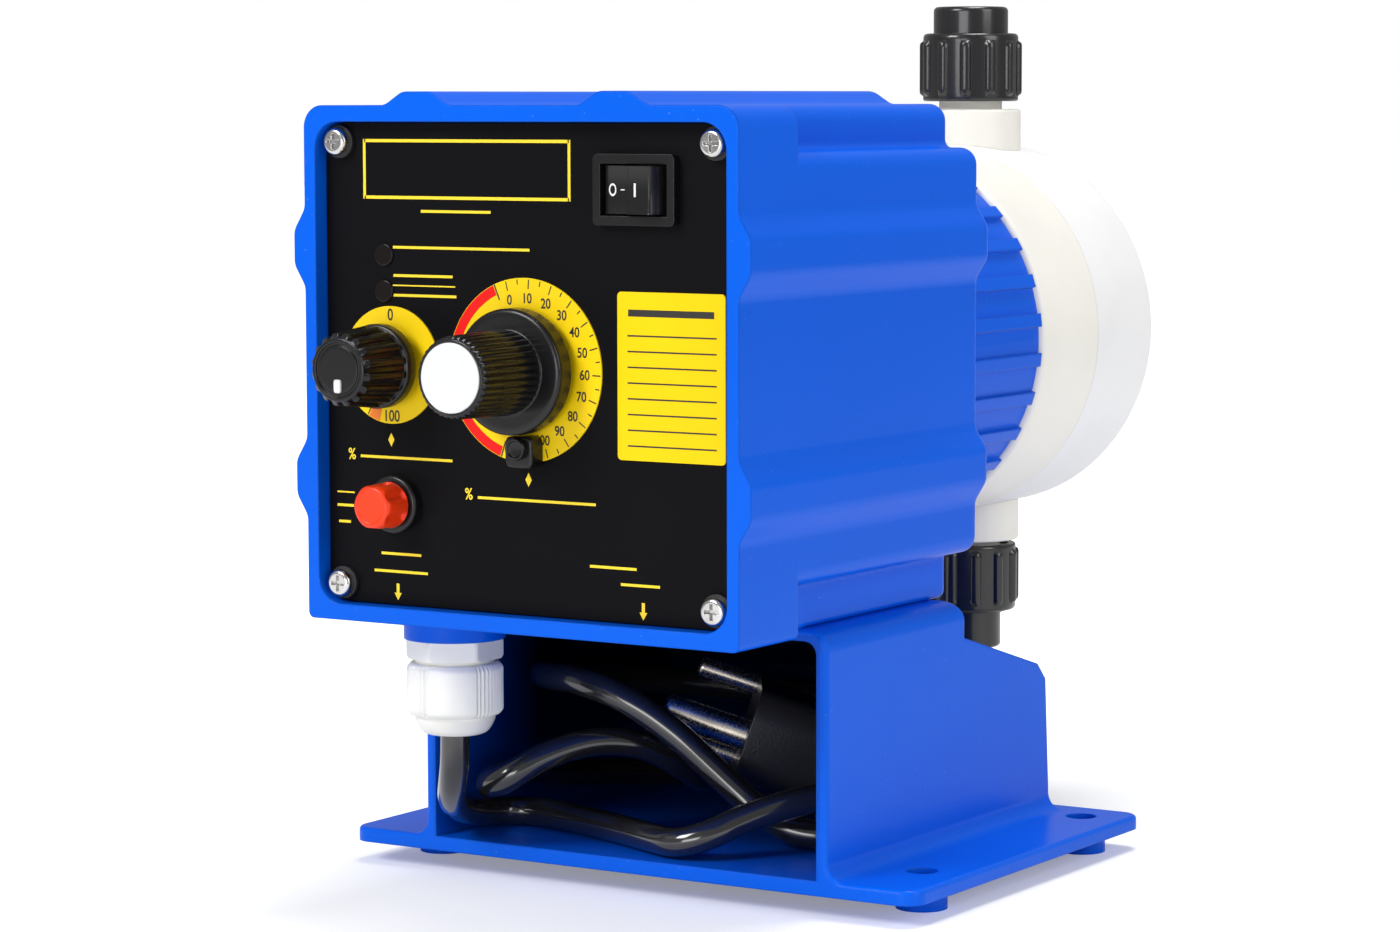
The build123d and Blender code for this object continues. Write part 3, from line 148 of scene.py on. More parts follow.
lead = nurbs_lead("mains_lead_sheath", cord_route + cord_end, cord_r)
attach(lead, "pump")
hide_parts("mains_lead")

# %% [markdown]
# ## Light and floor
#
# The pump stands in a white sweep under soft light. The world is white to the camera. In
# reflections and through glass it is only a third as bright, because full white washed the blue
# out, and it is dimmer still for the light that it throws, so that colours come out about as
# they are written. Four soft boxes give the shading: a key from the front left, a low one in
# front that reaches into the base, a broad fill from the right and one above.

# %% Light and floor
def white_world(seen, mirrored, thrown):
    """A white world: strengths seen by the camera, mirrored in gloss and glass, and thrown."""
    world = bpy.data.worlds.new("sweep")
    world.use_nodes = True
    tree = world.node_tree
    paths = tree.nodes.new("ShaderNodeLightPath")
    strength = None
    for ray, extra in (("Is Camera Ray", seen - thrown), ("Is Glossy Ray", mirrored - thrown),
                       ("Is Transmission Ray", mirrored - thrown)):
        share = tree.nodes.new("ShaderNodeMath")
        share.operation = "MULTIPLY_ADD"
        tree.links.new(paths.outputs[ray], share.inputs[0])
        share.inputs[1].default_value = extra
        share.inputs[2].default_value = thrown
        if strength:
            tree.links.new(strength, share.inputs[2])
        strength = share.outputs[0]
    back = tree.nodes["Background"]
    back.inputs["Color"].default_value = (1, 1, 1, 1)
    tree.links.new(strength, back.inputs["Strength"])
    return world


def soft_box(name, place, look_at, width, height, power):
    """A rectangular area lamp at a place, turned to a point."""
    data = bpy.data.lights.new(name, "AREA")
    data.shape = "RECTANGLE"
    data.size = width
    data.size_y = height
    data.energy = power
    lamp = bpy.data.objects.new(name, data)
    aim = (Vector(look_at) - Vector(place)).to_track_quat("-Z", "Y").to_matrix().to_4x4()
    lamp.matrix_world = Matrix.Translation(place) @ aim
    bpy.context.scene.collection.objects.link(lamp)


bpy.context.scene.world = white_world(seen=1.0, mirrored=0.34, thrown=0.26)
pump_middle = (0.0, -0.02, 0.10)
for name, place, width, height, power in (
        ("key_light", (-0.45, -1.15, 0.95), 0.55, 0.55, 12.8),
        ("front_light", (0.15, -1.5, 0.16), 0.8, 0.35, 4.5),
        ("side_light", (1.35, -0.15, 0.65), 0.7, 0.9, 7.0),
        ("top_light", (0.1, 0.2, 1.4), 0.5, 0.6, 12.0)):
    soft_box(name, place, pump_middle, width, height, power)
    print(name, power, "W")
bpy.context.scene.view_settings.view_transform = "Standard"

# %% [markdown]
# ## Shader maths as sums
#
# A finish is a small tree of nodes. Wrapping a socket in a class with operators lets the maths
# read as a formula: each operator adds one Math node. Every other node comes from one method
# that takes its type, its settings and the values or links of its sockets.

# %% The wrapper
def feed(tree, slot, value):
    """Links a wire to a socket, or sets the socket's value; a colour gets its alpha."""
    if isinstance(value, Wire):
        tree.links.new(value.socket, slot)
    else:
        slot.default_value = (*value, 1) if slot.type == "RGBA" else value


class Wire:
    """One output socket; +, *, >, < and abs on it add a Math node each."""

    def __init__(self, tree, socket):
        self.tree, self.socket = tree, socket

    def maths(self, operation, *values):
        node = self.tree.nodes.new("ShaderNodeMath")
        node.operation = operation
        for slot, value in zip(node.inputs, values):
            feed(self.tree, slot, value)
        return Wire(self.tree, node.outputs[0])

    def __add__(self, other):
        return self.maths("ADD", self, other)

    def __mul__(self, other):
        return self.maths("MULTIPLY", self, other)

    def __gt__(self, other):
        return self.maths("GREATER_THAN", self, other)

    def __lt__(self, other):
        return self.maths("LESS_THAN", self, other)

    def __abs__(self):
        return self.maths("ABSOLUTE", self)

    __radd__, __rmul__ = __add__, __mul__


class Finish:
    """A material with one Principled shader; keyword values are set on its own sockets."""

    def __init__(self, name, **fixed):
        self.material = bpy.data.materials.new(name)
        self.material.use_nodes = True
        self.tree = self.material.node_tree
        self.skin = self.tree.nodes["Principled BSDF"]
        self.material.diffuse_color = (*fixed["Base_Color"], 1)
        for key, value in fixed.items():
            feed(self.tree, self.skin.inputs[key.replace("_", " ")], value)

    def node(self, kind, settings=None, out=0, **links):
        """Any node: its settings first, then its sockets, with _ for a space in their names."""
        node = self.tree.nodes.new("ShaderNode" + kind)
        for key, value in (settings or {}).items():
            setattr(node, key, value)
        for key, value in links.items():
            feed(self.tree, node.inputs[key.replace("_", " ")], value)
        return Wire(self.tree, node.outputs[out])

    def place(self):
        return self.node("TexCoord", out="Object")

    def noise(self, scale, detail=2.0):
        """Fractal noise from 0 to 1, scale in waves per metre."""
        return self.node("TexNoise", Vector=self.place(), Scale=scale, Detail=detail)

    def blend(self, share, first, second):
        """A colour that goes from first to second as share goes from 0 to 1."""
        node = self.tree.nodes.new("ShaderNodeMix")
        node.data_type = "RGBA"
        in_use = [slot for slot in node.inputs if slot.enabled]
        for slot, value in zip(in_use, (share, first, second)):
            feed(self.tree, slot, value)
        return Wire(self.tree, next(slot for slot in node.outputs if slot.enabled))

    def ramp(self, value, low, high, start=0.0, end=1.0):
        """A straight ramp, held at its ends: low gives start and high gives end."""
        return self.node("MapRange", Value=value, From_Min=low, From_Max=high, To_Min=start,
                         To_Max=end)

    def relief(self, height, depth, edge=0.0):
        """A bump of a depth in metres, over edges that are rounded by a radius in metres."""
        links = {"Height": height, "Distance": depth, "Strength": 1.0}
        if edge:
            links["Normal"] = self.node("Bevel", {"samples": 6}, Radius=edge)
        return self.node("Bump", **links)

    def drive(self, **links):
        for key, value in links.items():
            self.tree.links.new(value.socket, self.skin.inputs[key.replace("_", " ")])
        return self.material


# %% [markdown]
# ## Finishes
#
# Powder coat is a thick glossy skin with an orange peel of about a millimetre and a few bright
# specks of dust. The inside of the base looks almost black: it lies in deep shade, and that shade
# is painted into its colour by place, so it stays dark in any light, where a deep hollow lit by
# lamps alone would be the truer way. Whether its coat is thinner there or it only lies in shade
# isn't known, so its colour is darkened by place, and it stays dark in any light: a deep hollow
# lit by lamps alone would be the truer way if it were only shade. Moulded plastic has a fine
# spark-eroded grain, and turned or plated metal a fine even mottle and a little tarnish. Each
# finish has one function, and small scales are given in waves per metre.

# %% Finishes
def shades(color, down, up):
    """A colour times down and times up, for the two ends of a cloudy blend."""
    return tuple(c * down for c in color), tuple(min(1.0, c * up) for c in color)


def powder_coat(name, color, painted_shade_mask=None):
    """Powder coat; the third argument, when given, is a function that gives how far each place is
    painted towards near black as painted shade.
    """
    coat = Finish(name, Base_Color=color, Roughness=0.34, Specular_IOR_Level=0.10,
                  Coat_Weight=0.03, Coat_Roughness=0.12)
    peel = coat.noise(950, 2)
    cloud = coat.noise(12, 2)
    speck = coat.ramp(coat.noise(1500, 1), 0.775, 0.81)
    shade = coat.blend(coat.ramp(cloud, 0.1, 0.9), *shades(color, 0.94, 1.08))
    dust_and_painted_shade = coat.blend(speck * 0.5, shade, (0.25, 0.40, 0.85))
    # Painted shade: where the given mask is high, the colour goes towards near black (0.0, 0.002,
    # 0.010), standing in for shade.
    if painted_shade_mask:
        dust_and_painted_shade = coat.blend(painted_shade_mask(coat), dust_and_painted_shade, (0.0, 0.002, 0.010))
    return coat.drive(Base_Color=dust_and_painted_shade, Roughness=coat.ramp(cloud, 0.1, 0.9, 0.27, 0.31),
                      Normal=coat.relief(peel, 0.035 * mm, 0.8 * mm))


def painted_shade_in_base(coat):
    """Painted shade: up to 0.97 deep in the base's hollow, less on its floor and at its mouth, 0
    outside it.

    The hollow ends in the middle of each wall: straight sides, a roof that drops behind the
    step and slopes down to a chamfer, and a rear wall that leans."""
    x, y, z = (coat.node("SeparateXYZ", out=axis, Vector=coat.place()) for axis in range(3))
    roof_slope, wall_lean = 0.284, 0.071
    low_part = ((z + y * roof_slope < 54.6 * mm) * (y + z < 82.0 * mm)
                * (y + z * wall_lean < 44.3 * mm))
    before_step = y < -0.5 * mm
    under_roof = y.maths("MAXIMUM", before_step, low_part)
    hollow = (abs(x) < 53.0 * mm) * (z > 8.0 * mm) * (z < 63.5 * mm) * under_roof
    deep = coat.ramp(y, -63 * mm, -20 * mm, 0.2, 0.97)
    high = coat.ramp(z, 9 * mm, 26 * mm, 0.4, 1.0)
    return hollow * deep * high


def moulded(name, color, roughness, grain=0.02, edge=0.3, coat_weight=0.0, fineness=2600,
            **more):
    """Moulded plastic: grain is its depth and edge its edge radius, both in mm."""
    skin = Finish(name, Base_Color=color, Roughness=roughness, Coat_Weight=coat_weight, **more)
    spark = skin.noise(fineness, 2)
    cloud = skin.noise(35, 3)
    return skin.drive(Base_Color=skin.blend(skin.ramp(cloud, 0.3, 0.7),
                                            *shades(color, 0.97, 1.03)),
                      Roughness=skin.ramp(cloud, 0.3, 0.7, roughness * 0.88, roughness * 1.12),
                      Normal=skin.relief(spark, grain * mm, edge * mm))


def metal(name, color, roughness, edge=0.2, depth=0.004):
    """Turned or plated metal with a fine even mottle, its depth in mm, and a little tarnish."""
    skin = Finish(name, Base_Color=color, Roughness=roughness, Metallic=1.0)
    mottle = skin.noise(1800, 4)
    tarnish = skin.ramp(skin.noise(160, 4), 0.4, 0.7)
    dull = tuple(c * 0.72 for c in color)
    return skin.drive(Base_Color=skin.blend(tarnish, color, dull),
                      Roughness=skin.ramp(mottle, 0.3, 0.7, roughness * 0.7, roughness * 1.3),
                      Normal=skin.relief(mottle, depth * mm, edge * mm))


coat_blue = (0.001, 0.105, 0.70)
finishes = {
    "blue_enamel": powder_coat("blue_powder_coat", coat_blue),
    "panel_black": moulded("black_panel", (0.004, 0.004, 0.005), 0.42, 0.004, 0.2,
                           Specular_IOR_Level=0.06),
    "gasket_black": moulded("black_gasket", (0.012, 0.012, 0.012), 0.7),
    "stainless": metal("stainless_steel", (0.72, 0.71, 0.70), 0.20),
    "washer_black": moulded("washer_rubber", (0.015, 0.015, 0.015), 0.55),
    "dial_yellow": moulded("dial_yellow", (0.93, 0.64, 0.002), 0.42, 0.002, 0.05,
                           Specular_IOR_Level=0.25),
    "label_yellow": moulded("label_yellow", (0.93, 0.62, 0.0), 0.42, 0.002, 0.05,
                            Specular_IOR_Level=0.2),
    "knob_black": moulded("knob_black", (0.006, 0.006, 0.007), 0.28, 0.008, 0.25, 0.05,
                          Specular_IOR_Level=0.4),
    "cap_white": moulded("cap_white", (0.72, 0.73, 0.74), 0.38, 0.006, 0.3),
    "fuse_orange": moulded("fuse_orange", (0.90, 0.045, 0.006), 0.30, 0.01, 0.3, 0.1,
                           Specular_IOR_Level=0.3),
    "brass": metal("turned_brass", (0.75, 0.55, 0.25), 0.3),
    "lamp_lens": moulded("lamp_lens", (0.008, 0.005, 0.005), 0.2, 0.002, 0.3,
                         Specular_IOR_Level=0.2),
    "board_green": moulded("circuit_board", (0.02, 0.17, 0.07), 0.35),
    "steel": metal("turned_steel", (0.48, 0.48, 0.49), 0.32),
    "copper_coil": metal("copper_winding", (0.70, 0.30, 0.13), 0.35),
    "former_natural": moulded("natural_nylon", (0.72, 0.68, 0.55), 0.45),
    "spring_steel": metal("spring_steel", (0.55, 0.55, 0.56), 0.25),
    "cream_plastic": moulded("cream_polypropylene", (0.88, 0.86, 0.79), 0.40, 0.006, 0.5),
    "white_plastic": moulded("white_polypropylene", (0.88, 0.88, 0.88), 0.42, 0.006, 0.6),
    "rubber_black": moulded("black_rubber", (0.015, 0.015, 0.015), 0.6),
    "nut_black": moulded("glossy_black", (0.010, 0.010, 0.011), 0.24, 0.008, 0.35, 0.3),
    "ball_white": moulded("ceramic", (0.85, 0.85, 0.82), 0.12),
    "gland_white": moulded("white_nylon", (0.84, 0.84, 0.81), 0.32, 0.006, 0.3, 0.2),
    "cord_black": moulded("black_pvc", (0.014, 0.014, 0.015), 0.15, 0.003, 0.2, 1.0,
                          Specular_IOR_Level=0.6, Coat_Roughness=0.12),
    "pin_nickel": metal("plated_pins", (0.92, 0.84, 0.72), 0.26, 0.3, 0.0005),
}


def dress(piece, material):
    """Gives a piece one material in place of what it has."""
    piece.data.materials.clear()
    piece.data.materials.append(material)


slot_of = {part["node"]: part["material_slot"] for part in frame["record"]["subparts"]}
for node, part in frame["nodes"].items():
    dress(part, finishes[slot_of[node]])
# The base's coat carries painted shade: inside its hollow the colour goes towards near black.
dress(frame["nodes"]["base"], powder_coat("blue_base_coat_with_painted_shade", coat_blue, painted_shade_in_base))
dress(frame["nodes"]["plug_body"], moulded("plug_pvc", (0.032, 0.032, 0.033), 0.34, 0.08, 0.5,
                                           0.1, fineness=1500))
dress(lead, finishes["cord_black"])
print("finishes", len(finishes), "on", len(slot_of), "nodes")

# %% [markdown]
# ## Turned and moulded pieces
#
# Nuts, knobs and caps are round forms with ribs, so each is a profile carried round an axis,
# with a relief that depends on the angle and the height. Extruding and cutting would need a
# cut for every flute, while here a rib is one formula. The profile's corners are rounded by
# quadratic curves, because moulded edges are never sharp, and those small roundings catch the
# light.

# %% Profiles
def rounded_profile(corners, spacing=0.6, steps=4):
    """A profile in mm through (radius, height, rounding) corners.

    A corner P is replaced by (1 - t)^2 A + 2t(1 - t) P + t^2 B, where A and B lie on its two
    sides at the rounding's distance. Long stretches get points at the spacing."""
    corners = np.array([tuple(c) + (0.0,) * (3 - len(c)) for c in corners])
    t = np.linspace(0, 1, steps + 1)[:, None]
    points = [corners[:1, :2]]
    for before, here, after in zip(corners, corners[1:], corners[2:]):
        if here[2] == 0:
            points.append(here[None, :2])
            continue
        ends = []
        for other in (before, after):
            way = other[:2] - here[:2]
            span = np.linalg.norm(way)
            ends.append(here[:2] + way / span * min(here[2], 0.48 * span))
        points.append((1 - t) ** 2 * ends[0] + 2 * t * (1 - t) * here[:2] + t ** 2 * ends[1])
    points.append(corners[-1:, :2])
    line = np.concatenate(points)
    fine = [line[:1]]
    for start, end in zip(line, line[1:]):
        count = int(np.ceil(np.linalg.norm(end - start) / spacing))
        if count:
            share = np.linspace(0, 1, count + 1)[1:, None]
            fine.append(start + (end - start) * share)
    return np.concatenate(fine)


def rounded_square(angle, half_width, half_height, power=6.0):
    """The reach of |x/a|^n + |y/b|^n = 1 from its middle: a square whose corners are soft."""
    return (np.abs(np.cos(angle) / half_width) ** power
            + np.abs(np.sin(angle) / half_height) ** power) ** (-1 / power)


def grid_faces(rows, columns, capped=False):
    """The faces of a grid of points that closes round its columns, and its ends if capped."""
    at = np.arange(rows * columns).reshape(rows, columns)
    beside = np.roll(at, -1, axis=1)
    faces = np.stack([at[:-1], beside[:-1], beside[1:], at[1:]], axis=-1).reshape(-1, 4).tolist()
    return faces + ([at[0, ::-1].tolist(), at[-1].tolist()] if capped else [])


def finish_mesh(name, points, faces, body, material, sharp=32.0, outwards=True):
    """Points in mm and faces, made a piece with closed seams and poles and outward normals."""
    merge_within = 0.0005 * mm
    mesh = bpy.data.meshes.new(name)
    mesh.from_pydata((points * mm).tolist(), [], faces)
    solid = bmesh.new()
    solid.from_mesh(mesh)
    if outwards:
        bmesh.ops.remove_doubles(solid, verts=solid.verts, dist=merge_within)
        bmesh.ops.dissolve_degenerate(solid, edges=solid.edges, dist=merge_within)
        bmesh.ops.recalc_face_normals(solid, faces=solid.faces)
    solid.to_mesh(mesh)
    solid.free()
    mesh.shade_smooth()
    mesh.set_sharp_from_angle(angle=np.radians(sharp))
    piece = bpy.data.objects.new(name, mesh)
    bpy.context.scene.collection.objects.link(piece)
    dress(piece, material)
    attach(piece, body)
    return piece


def turned(name, profile, centre, along, body, slot, relief=None, shape=None, around=128,
           sharp=32.0):
    """A profile carried round an axis, as a closed surface.

    Each (r, h) at angle a goes to centre + h w + (r s(a) + relief(a, h, r)) (cos a u + sin a v),
    where w is the axis, and u and v are the pump's right and up for a piece on the panel, or
    its right and back for an upright one."""
    angle = np.linspace(0, 2 * np.pi, around, endpoint=False)[None, :]
    r, h = profile[:, :1], profile[:, 1:2]
    reach = r * (shape(angle) if shape else 1.0)
    if relief:
        reach = reach + relief(angle, h, r) * (r > 0.01)
    u = np.array((1.0, 0.0, 0.0))
    v, w = {"up": ((0, 1, 0), (0, 0, 1)), "front": ((0, 0, 1), (0, -1, 0))}[along]
    points = (np.array(centre) + h[..., None] * np.array(w, float)
              + reach[..., None] * (np.cos(angle)[..., None] * u
                                    + np.sin(angle)[..., None] * np.array(v, float)))
    return finish_mesh(name, points.reshape(-1, 3), grid_faces(len(profile), around), body,
                       finishes[slot], sharp)


def ribs(count, turn, width, rise, low, high):
    """A relief of straight ribs with round ends.

    With d the distance round the piece to the nearest rib's middle line, and e how far a point
    lies past that line's ends, the height is rise (1 - (d^2 + e^2) / (width/2)^2)^0.4, or 0
    outside it. A power of 0.4 stands a little fuller than a round bar's 0.5."""
    def height(angle, h, r):
        pitch = 2 * np.pi / count
        d = ((angle - np.radians(turn) + pitch / 2) % pitch - pitch / 2) * r
        e = np.maximum(np.maximum(low + width / 2 - h, h - high + width / 2), 0)
        inside = np.maximum(1 - (d ** 2 + e ** 2) / (width / 2) ** 2, 0)
        return rise * inside ** 0.4 * (h >= low) * (h <= high)
    return height


# %% [markdown]
# ## Union nuts
#
# Each valve's port piece is clamped by a black moulded nut with twelve short bars that give
# the fingers a grip. The bars stop short of the nut's ends and end in half rounds.

# %% Union nuts
valve_y = 105.5
for name, low, high, lip, turn in (("discharge_nut", 181.35, 198.95, 1, -8.0),
                                   ("suction_nut", 47.8, 65.4, -1, 7.0)):
    height = high - low
    ring = [(10.4, height * 0.5), (10.4, 0, 0.3), (12.4, 0, 0.7), (12.4, height, 1.3),
            (9.8, height, 0.5), (9.8, height - 2.5), (10.4, height - 2.5), (10.4, height * 0.5)]
    profile = rounded_profile(ring)
    if lip < 0:
        profile = np.stack([profile[:, 0], height - profile[:, 1]], axis=1)
        bars = ribs(12, turn, 2.7, 1.0, 1.9, height - 1.3)
    else:
        bars = ribs(12, turn, 2.7, 1.0, 1.3, height - 1.9)
    nut = turned(name, profile, (0, valve_y, low), "up", "pump", "nut_black", around=288,
                 relief=lambda a, h, r, bars=bars: bars(a, h, r) * (r > 12.0))
    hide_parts("union_nuts")
    print(name, "faces", len(nut.data.polygons))

# %% [markdown]
# ## The cable gland's nut
#
# A white nylon nut squeezes a sleeve round the lead. It has three smooth round lands with fine
# flutes between them, chamfered ends and a domed foot with a hole for the lead.

# %% The gland nut
gland_x, gland_y, gland_foot = -33.9, -80.2, 37.0


def gland_flutes(angle, h, r):
    """Fine flutes: a row of cosine grooves 6 degrees apart, left out over three smooth lands."""
    from_flat = np.abs((np.degrees(angle) + 118.0) % 120.0 - 60.0)
    inside = np.clip((from_flat - 30.0) / 1.0, 0, 1) * ((h > 4.9) & (h < 17.2))
    groove = 0.5 - 0.5 * np.cos(np.degrees(angle) * 2 * np.pi / 6.0)
    return -0.55 * inside * groove * (r > 10.6)


gland_nut = turned("gland_nut", rounded_profile([
    (7.4, 9.0), (7.4, 5.4), (3.8, 5.4), (3.8, 0, 0.4), (7.4, 0.0, 2.8), (9.2, 3.2, 1.6),
    (9.3, 4.5), (10.2, 4.6, 0.3), (11.1, 5.6, 0.5), (11.1, 15.5, 0.6), (10.1, 16.7, 0.4),
    (9.25, 16.7), (9.25, 9.0), (7.4, 9.0)]), (gland_x, gland_y, gland_foot), "up", "pump",
    "gland_white", gland_flutes, around=360, sharp=40.0)
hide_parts("gland_nut")


def hexagon(angle, h, r):
    """Six flats 19.6 mm apart: apothem / cos(angle from the flat), cut off at the corners."""
    from_flat = (np.degrees(angle) + 58.0 + 30.0) % 60.0 - 30.0
    reach = np.minimum(9.8 / np.cos(np.radians(from_flat)), 11.15)
    shoulder = np.maximum(0, np.maximum(14.6 - h, h - 18.2)) * 0.6
    return ((np.minimum(reach, 11.15 - shoulder * (reach > 10.3)) - r)
            * (h > 13.85) * (h < 18.65) * (r > 9.5))


gland_hex = turned("gland_hex", rounded_profile([
    (7.4, 10.0), (7.4, 0), (9.2, 0), (9.2, 13.8), (9.0, 13.9), (9.8, 13.9, 0.1), (9.8, 18.6, 0.1),
    (9.2, 18.6), (9.2, 27.4, 0.3), (7.4, 27.4), (7.4, 10.0)]),
    (gland_x, gland_y, 40.6), "up", "pump", "gland_white", hexagon, around=240, sharp=30.0)
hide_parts("gland_body")
print("gland nut", len(gland_nut.data.polygons), "hexagon", len(gland_hex.data.polygons))

# %% [markdown]
# ## The stroke knob
#
# The large knob has a plain satin skirt over the dial, a tapered grip with fine flutes, and a
# white cap pressed into its end. The flutes are a rounded wave that starts sharply at the
# skirt and runs out at the cap's rim.

# %% The stroke knob
axis_z, panel_y = 122.85, -100.2


def knob_flutes(angle, h, r):
    """Thirty-six rounded ridges, |cos|^0.6 across the pitch, that fade out at both ends."""
    wave = np.abs(np.cos(angle * 18.0)) ** 0.6
    ends = np.clip((h - 5.2) / 0.5, 0, 1) * np.clip((25.9 - h) / 0.8, 0, 1)
    return 0.62 * wave * ends * (r > 8.0) * (r < 9.5)


stroke_back = panel_y - 2.3
stroke_knob = turned("stroke_knob_grip", rounded_profile([
    (3.0, 1.5), (3.0, 0.0), (13.9, 0.0, 0.5), (13.9, 5.0, 1.1), (9.3, 5.0, 0.2),
    (8.85, 5.4, 0.1), (8.35, 26.0, 0.5), (7.7, 26.0, 0.2), (7.7, 24.9), (3.0, 24.9),
    (3.0, 1.5)], spacing=0.9), (0, stroke_back, axis_z), "front", "stroke_dial", "knob_black",
    knob_flutes, around=432, sharp=40.0)
stem = turned("stroke_knob_stem", rounded_profile([
    (3.0, 0.5), (3.0, -14.3, 0.3), (1.7, -14.3), (1.7, 0.5), (3.0, 0.5)], spacing=3.0),
    (0, stroke_back, axis_z), "front", "stroke_dial", "knob_black", around=48)
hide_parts("stroke_knob")
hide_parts("stroke_knob")
cap = turned("stroke_knob_white_cap", rounded_profile([
    (0, 25.0), (7.6, 25.0), (7.6, 26.15, 0.25), (7.0, 26.3, 0.3), (5.0, 26.33, 2.0),
    (0, 26.4)]), (0, stroke_back, axis_z), "front", "stroke_dial", "cap_white", around=96)
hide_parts("stroke_knob_cap")
print("stroke knob", len(stroke_knob.data.polygons), "cap", len(cap.data.polygons))

# %% [markdown]
# ## The lock peg
#
# A short tube below the stroke knob is taken to be the peg that locks its setting. Its end is
# dished, which shows as a dark ring.

# %% The lock peg
peg = turned("stroke_lock_peg_tube", rounded_profile([
    (0, -6.0), (1.45, -6.0), (1.45, 0.0), (2.5, 0.0), (2.5, 6.4, 0.6), (1.9, 6.4, 0.3),
    (1.7, 5.9, 0.2), (0, 5.8)]), (1.2, panel_y, 105.95), "front", "pump", "knob_black")
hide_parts("stroke_lock_peg")
foot = turned("stroke_lock_foot", rounded_profile([
    (0, 0), (1, 0), (1, 4.0, 0.12), (0.9, 4.3, 0.1), (0, 4.3)], spacing=2.0),
    (1.2, panel_y - 0.45, 105.2), "front", "pump", "knob_black",
    shape=lambda a: rounded_square(a, 3.6, 3.5, 5.0), around=64)
print("lock peg", len(peg.data.polygons), "its foot", len(foot.data.polygons))

# %% [markdown]
# ## The speed knob
#
# The small knob is a tapered body with rounded bars that start at a plain collar, and a flat
# front plate with a raised white block that points at the scale.

# %% The speed knob
speed_x, speed_back = -36.3, -103.7
speed_bars = ribs(16, 11.25, 2.0, 0.95, 3.6, 16.0)
speed_knob = turned("speed_knob_body", rounded_profile([
    (0, 6.0), (3.05, 6.0), (3.05, 0), (9.45, 0, 0.4), (9.45, 3.1, 0.5), (8.4, 3.3, 0.2),
    (7.1, 16.5, 0.5), (6.1, 16.5, 0.2), (6.0, 16.05, 0.1), (5.4, 16.05, 0.1),
    (5.3, 16.4, 0.15), (0, 16.4)], spacing=0.8), (speed_x, speed_back, axis_z), "front",
    "speed_dial", "knob_black", lambda a, h, r: speed_bars(a, h, r) * (r > 6.6), around=320,
    sharp=40.0)
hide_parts("speed_knob")
pointer = turned("speed_knob_pointer", rounded_profile([
    (0, -0.4), (1, -0.4), (1, 0.35, 0.15), (0.85, 0.5, 0.1), (0, 0.5)], spacing=2.0),
    (speed_x, speed_back - 16.4, axis_z - 3.6), "front", "speed_dial", "cap_white",
    shape=lambda a: rounded_square(a, 0.95, 1.5, 5.0), around=48)
print("speed knob", len(speed_knob.data.polygons), "pointer", len(pointer.data.polygons))

# %% [markdown]
# ## The fuse cap
#
# An orange cap with six lobes twists out of a round black bezel. The lobes fade into a round
# front with a raised ring.

# %% The fuse cap
fuse_x, fuse_z, fuse_back = -35.0, 91.65, -103.1


def cap_lobes(angle, h, r):
    """Six hollows between broad lobes: a powered cosine, deepest at the back."""
    hollow = (0.5 - 0.5 * np.cos(6 * angle)) ** 2.2
    return -1.0 * hollow * np.clip((7.1 - h) / 1.5, 0, 1) * (h > 0.4) * (r > 4.0)


fuse_cap = turned("fuse_cap_lobed", rounded_profile([
    (0, 0.0), (5.2, 0.0, 0.3), (5.2, 1.0, 0.2), (5.05, 6.6, 0.9), (4.3, 7.4, 0.5), (3.6, 7.4, 0.2),
    (3.45, 7.15, 0.15), (0, 7.15)], spacing=0.5), (fuse_x, fuse_back, fuse_z), "front",
    "fuse_cap_turn", "fuse_orange", cap_lobes, around=192, sharp=50.0)
fuse_stem = turned("fuse_cap_stem", rounded_profile([
    (0, 0.2), (3.8, 0.2), (3.8, -9.0), (2.7, -9.0), (2.7, -3.0), (0, -3.0)], spacing=3.0),
    (fuse_x, fuse_back, fuse_z), "front", "fuse_cap_turn", "fuse_orange", around=64)
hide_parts("fuse_cap")
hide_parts("fuse_cap")
print("fuse cap", len(fuse_cap.data.polygons))

# %% [markdown]
# ## The rocker switch
#
# The rocker lies over to its O side: that half is level with the bezel, and the I half stands
# proud with a step in the middle. Its side view is one outline, carried along the pump's height
# with a small inset at both ends for the moulded edge.

# %% An outline carried straight
def drawn(name, outline, levels, place, body, slot):
    """An outline carried straight through (height, inset) levels, with a flat face at each end.

    An inset moves each point inwards, square to the line between its two neighbours."""
    way = np.roll(outline, -1, axis=0) - np.roll(outline, 1, axis=0)
    outward = np.stack([way[:, 1], -way[:, 0]], axis=1)
    outward /= np.linalg.norm(outward, axis=1, keepdims=True)
    rows = np.array([np.column_stack([outline - outward * inset, np.full(len(outline), height)])
                     for height, inset in levels])
    faces = grid_faces(len(levels), len(outline), capped=True)
    return finish_mesh(name, place(rows.reshape(-1, 3)), faces, body, finishes[slot])


# %% The rocker
pivot = np.array((29.7, -98.4, 162.65))
tilt = np.radians(-12.0)


def on_pivot(points):
    """From the rocker's level frame (right, back, up) to the pump's, laid over by the tilt."""
    p, q, h = np.asarray(points, float).T
    return np.stack([p * np.cos(tilt) - q * np.sin(tilt), p * np.sin(tilt) + q * np.cos(tilt), h],
                    axis=1) + pivot


side_view = rounded_profile([
    (0, 1.8), (2.5, 1.8), (8.0, -0.5, 0.3), (7.0, -5.2, 0.6), (0.3, -5.1, 0.5), (0.1, -3.6, 0.2),
    (-7.3, -4.4, 0.5), (-8.0, -0.5, 0.3), (-2.5, 1.8), (0, 1.8)], spacing=1.5)[:-1]
rocker = drawn("rocker_cap", side_view, [(-5.2, 0.35), (-5.1, 0.1), (-4.85, 0), (4.85, 0),
                                         (5.1, 0.1), (5.2, 0.35)],
               on_pivot, "switch_rocker", "knob_black")
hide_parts("rocker")
print("rocker", len(rocker.data.polygons))
